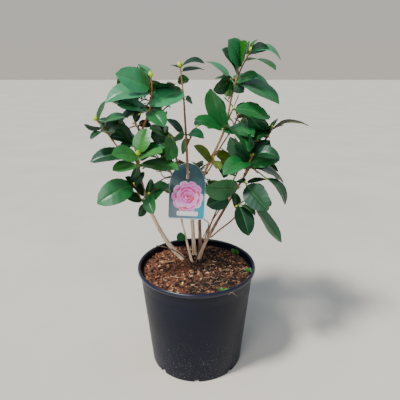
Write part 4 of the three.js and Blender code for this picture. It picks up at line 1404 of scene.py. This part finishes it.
def dress_weeds():
    """Small weeds at the rim: a few leaves that open from one place."""
    shape = Shape()
    rng = np.random.default_rng(8)
    draw = Seeded(50)
    for (x, y), count, long in WEEDS:
        foot = vec(x, y, mix_height(x, y) + 0.5)
        for k in range(count):
            out = vec(math.cos(GOLDEN_TURN * k), math.sin(GOLDEN_TURN * k), 0.5 + 0.7 * draw())
            leaf = Leaf(foot, foot + unit(out) * (long * (0.7 + 0.5 * draw())), draw)
            add_leaf(shape, leaf, leaf_marks("fresh"), rng)
    make_piece("weeds", shape, LEAF_MATERIALS, "foliage", crease=60)


dress_mix()
dress_litter()
dress_weeds()


# The label. A ring of petals has its distance from the rosette's middle, their number and radius.
ROSETTE = (1, 55.5)
ROSETTE_RINGS = ((28, 10, 13.5), (23.5, 9, 12.5), (18, 9, 11), (12, 8, 9), (7, 6, 6.5), (2.6, 4, 4.6))
PRINT_LIFT = 0.04
# The blank strip: centre and first angle of each rounded corner
STRIP_CORNERS = ((-21, 11, 180), (26, 11, 270), (26, 16.5, 0), (-21, 16.5, 90))
STRIP_ROUND = 3
STRIP_MARK = 7
PRINT_CODES = ("#ffe2fc", "#ffb6f2", "#ff7ede", "#f640b0", "#f45874", "#fffefc")
EDGE_POINTS = 160


def card_outline():
    """Points round the card's edge, from its lower left corner."""
    half, straight, top = LABEL["width"] / 2, LABEL["straight"], LABEL["height"] - LABEL["straight"]
    arc = [(half * math.cos(a), straight + top * math.sin(a)) for a in np.linspace(0, math.pi, 60)]
    edge = np.array([(-half + 3, 0), (half - 3, 0), (half, 3), *arc, (-half, 3), (-half + 3, 0)])
    run = run_along(edge)
    stops = np.linspace(0, run[-1], EDGE_POINTS, endpoint=False)
    return np.stack([np.interp(stops, run, edge[:, k]) for k in range(2)], axis=1)


def slot_edge(x, y):
    """The point of the slot's edge in the direction of a point of the outline."""
    half, reach = LABEL["slot_wide"] / 2, (LABEL["slot_long"] - LABEL["slot_wide"]) / 2
    dx, dy = unit(vec(x, y - LABEL["slot_height"]))
    far = half / max(abs(dx), 1e-6)
    if far * abs(dy) > reach:
        far = reach * abs(dy) + math.sqrt(max(half ** 2 - (reach * dx) ** 2, 0))
    return dx * far, LABEL["slot_height"] + dy * far


def add_card(shape):
    """The card, made of rings from its slot over the front to the edge and back over the rear."""
    outline = card_outline()
    slot = np.array([slot_edge(x, y) for x, y in outline])
    thick = LABEL["thick"] / 2
    steps = ((0, thick), (0.98, thick), (1, thick - 0.2), (1, 0.2 - thick), (0.98, -thick), (0, -thick))
    rings = [np.column_stack([between(slot, outline, t), np.full(EDGE_POINTS, z)]) for t, z in steps]
    numbers = np.arange(len(steps) * EDGE_POINTS).reshape(len(steps), EDGE_POINTS)
    faces = grid_faces(np.pad(numbers, ((0, 1), (0, 1)), mode="wrap").T)
    shape.add(on_label(np.concatenate(rings)), faces, [0, 1, 1, 1, 1, 1] * EDGE_POINTS)


def add_patch(shape, outline, layer, mark):
    """A flat printed shape on the front of the card."""
    z = LABEL["thick"] / 2 + PRINT_LIFT * (layer + 1)
    points = [(*np.mean(outline, axis=0), z)] + [(x, y, z) for x, y in outline]
    faces = [(0, 1 + j, 1 + (j + 1) % len(outline)) for j in range(len(outline))]
    shape.add(on_label(points), faces, mark)


def petal(angle, centre, radius, scale):
    """The outline of a rounded petal that points out from the middle of the rosette."""
    a = np.linspace(0, 2 * math.pi, 22, endpoint=False)
    d = centre + np.cos(a) * radius * scale - 0.06 * radius * np.cos(3 * a)
    v = np.sin(a) * radius * 0.92 * scale
    return np.stack([ROSETTE[0] + d * math.cos(angle) - v * math.sin(angle),
                     ROSETTE[1] + d * math.sin(angle) + v * math.cos(angle)], axis=1)


def add_rosette(shape):
    """Rings of petals, each of three tones, with the inner ones on top."""
    rng = np.random.default_rng(3)
    for ring, (distance, count, radius) in enumerate(ROSETTE_RINGS):
        layer = 3 * ring
        shares = [0.3, 0.35, 0.25, 0.1] if ring < 3 else [0.1, 0.3, 0.35, 0.25]
        for k in range(count):
            angle = (k + 0.5 * (ring % 2)) / count * 2 * math.pi + rng.uniform(-0.06, 0.06)
            tone = int(rng.choice([3, 4, 5, 6], p=shares))
            add_patch(shape, petal(angle, distance, radius, 0.92), layer, min(tone, 4) - 1)
            add_patch(shape, petal(angle, distance - radius * 0.1, radius, 0.8), layer + 1, tone)
            heart = petal(angle, distance - radius * 0.32, radius, 0.45)
            add_patch(shape, heart, layer + 2, min(tone + 1, 6))


def dress_label():
    shape = Shape()
    add_card(shape)
    add_rosette(shape)
    strip = [(x + STRIP_ROUND * math.cos(a), y + STRIP_ROUND * math.sin(a)) for x, y, start in STRIP_CORNERS
             for a in map(math.radians, (start, start + 30, start + 60, start + 90))]
    add_patch(shape, strip, 3 * len(ROSETTE_RINGS), STRIP_MARK)
    teal = Finish("label_front", 0.35, Specular_IOR_Level=0.4)
    low = teal.mix(teal.span("X", -0.03, 0.02), colour("#6d878f"), colour("#08aed2"))
    top = teal.ramp(teal.noise(20, 2), (0.35, "#2b4f5a"), (0.65, "#4d7680"))
    teal.paint(teal.mix(teal.span("Z", 0.42, 0.47), low, top))
    materials = [teal.material, plain_finish("label_back", "#dfe6e4", 0.5)]
    materials += plain_finishes("print", PRINT_CODES, 0.5, Specular_IOR_Level=0.3)
    make_piece("picture_label", shape, materials, "label_card", ["plant_label"], crease=30)


dress_label()


# Stage, light and camera
CAMERA_DOWN = 19.67
CAMERA_LENS = 36
FLOOR_REACH = 14000


def add_floor():
    shape = Shape()
    corners = ((-1, -1, 0), (1, -1, 0), (1, 1, 0), (-1, 1, 0))
    shape.add(np.array(corners) * FLOOR_REACH, [(0, 1, 2, 3)])
    floor = put_mesh("floor", shape)
    made = Finish("floor", 0.9)
    made.paint(made.ramp(made.noise(3, 3), (0.3, "#c3bdb2"), (0.7, "#ccc6bc")))
    floor.data.materials.append(made.material)


def add_light(name, kind, place, target, power, tone, **looks):
    """A light that shines from its place towards a target."""
    data = bpy.data.lights.new(name, kind)
    data.energy = power
    data.color = tone
    for key, value in looks.items():
        setattr(data, key, value)
    light = put(name, data)
    light.location = place
    light.rotation_euler = (Vector(target) - Vector(place)).to_track_quat("-Z", "Y").to_euler()


def add_world():
    world = bpy.data.worlds.new("studio")
    world.use_nodes = True
    tree = world.node_tree
    place = add_node(tree, "TexCoord", "Generated", {})
    height = add_node(tree, "SeparateXYZ", "Z", {"Vector": place})
    sky = tree.nodes["Background"].inputs
    tree.links.new(add_ramp(tree, height, (0, "#d6d0c6"), (1, "#b4cbe6")), sky["Color"])
    sky["Strength"].default_value = 0.84
    bpy.context.scene.world = world


def add_camera():
    data = bpy.data.cameras.new("camera")
    data.lens = CAMERA_LENS
    data.sensor_width = 36
    camera = put("camera", data)
    camera.location = EYE * MM
    camera.rotation_euler = (math.radians(90 - CAMERA_DOWN), 0, 0)
    bpy.context.scene.camera = camera


add_camera()
add_floor()
add_light("key", "SUN", (-1.3, -0.8, 2.3), (0, 0, 0), 4.6, (1, 0.96, 0.9), angle=math.radians(10))
add_light("front", "AREA", (-1, -2.3, 1.8), (0, 0.02, 0.45), 34, (1, 0.98, 0.96), shape="DISK", size=1.2)
add_world()
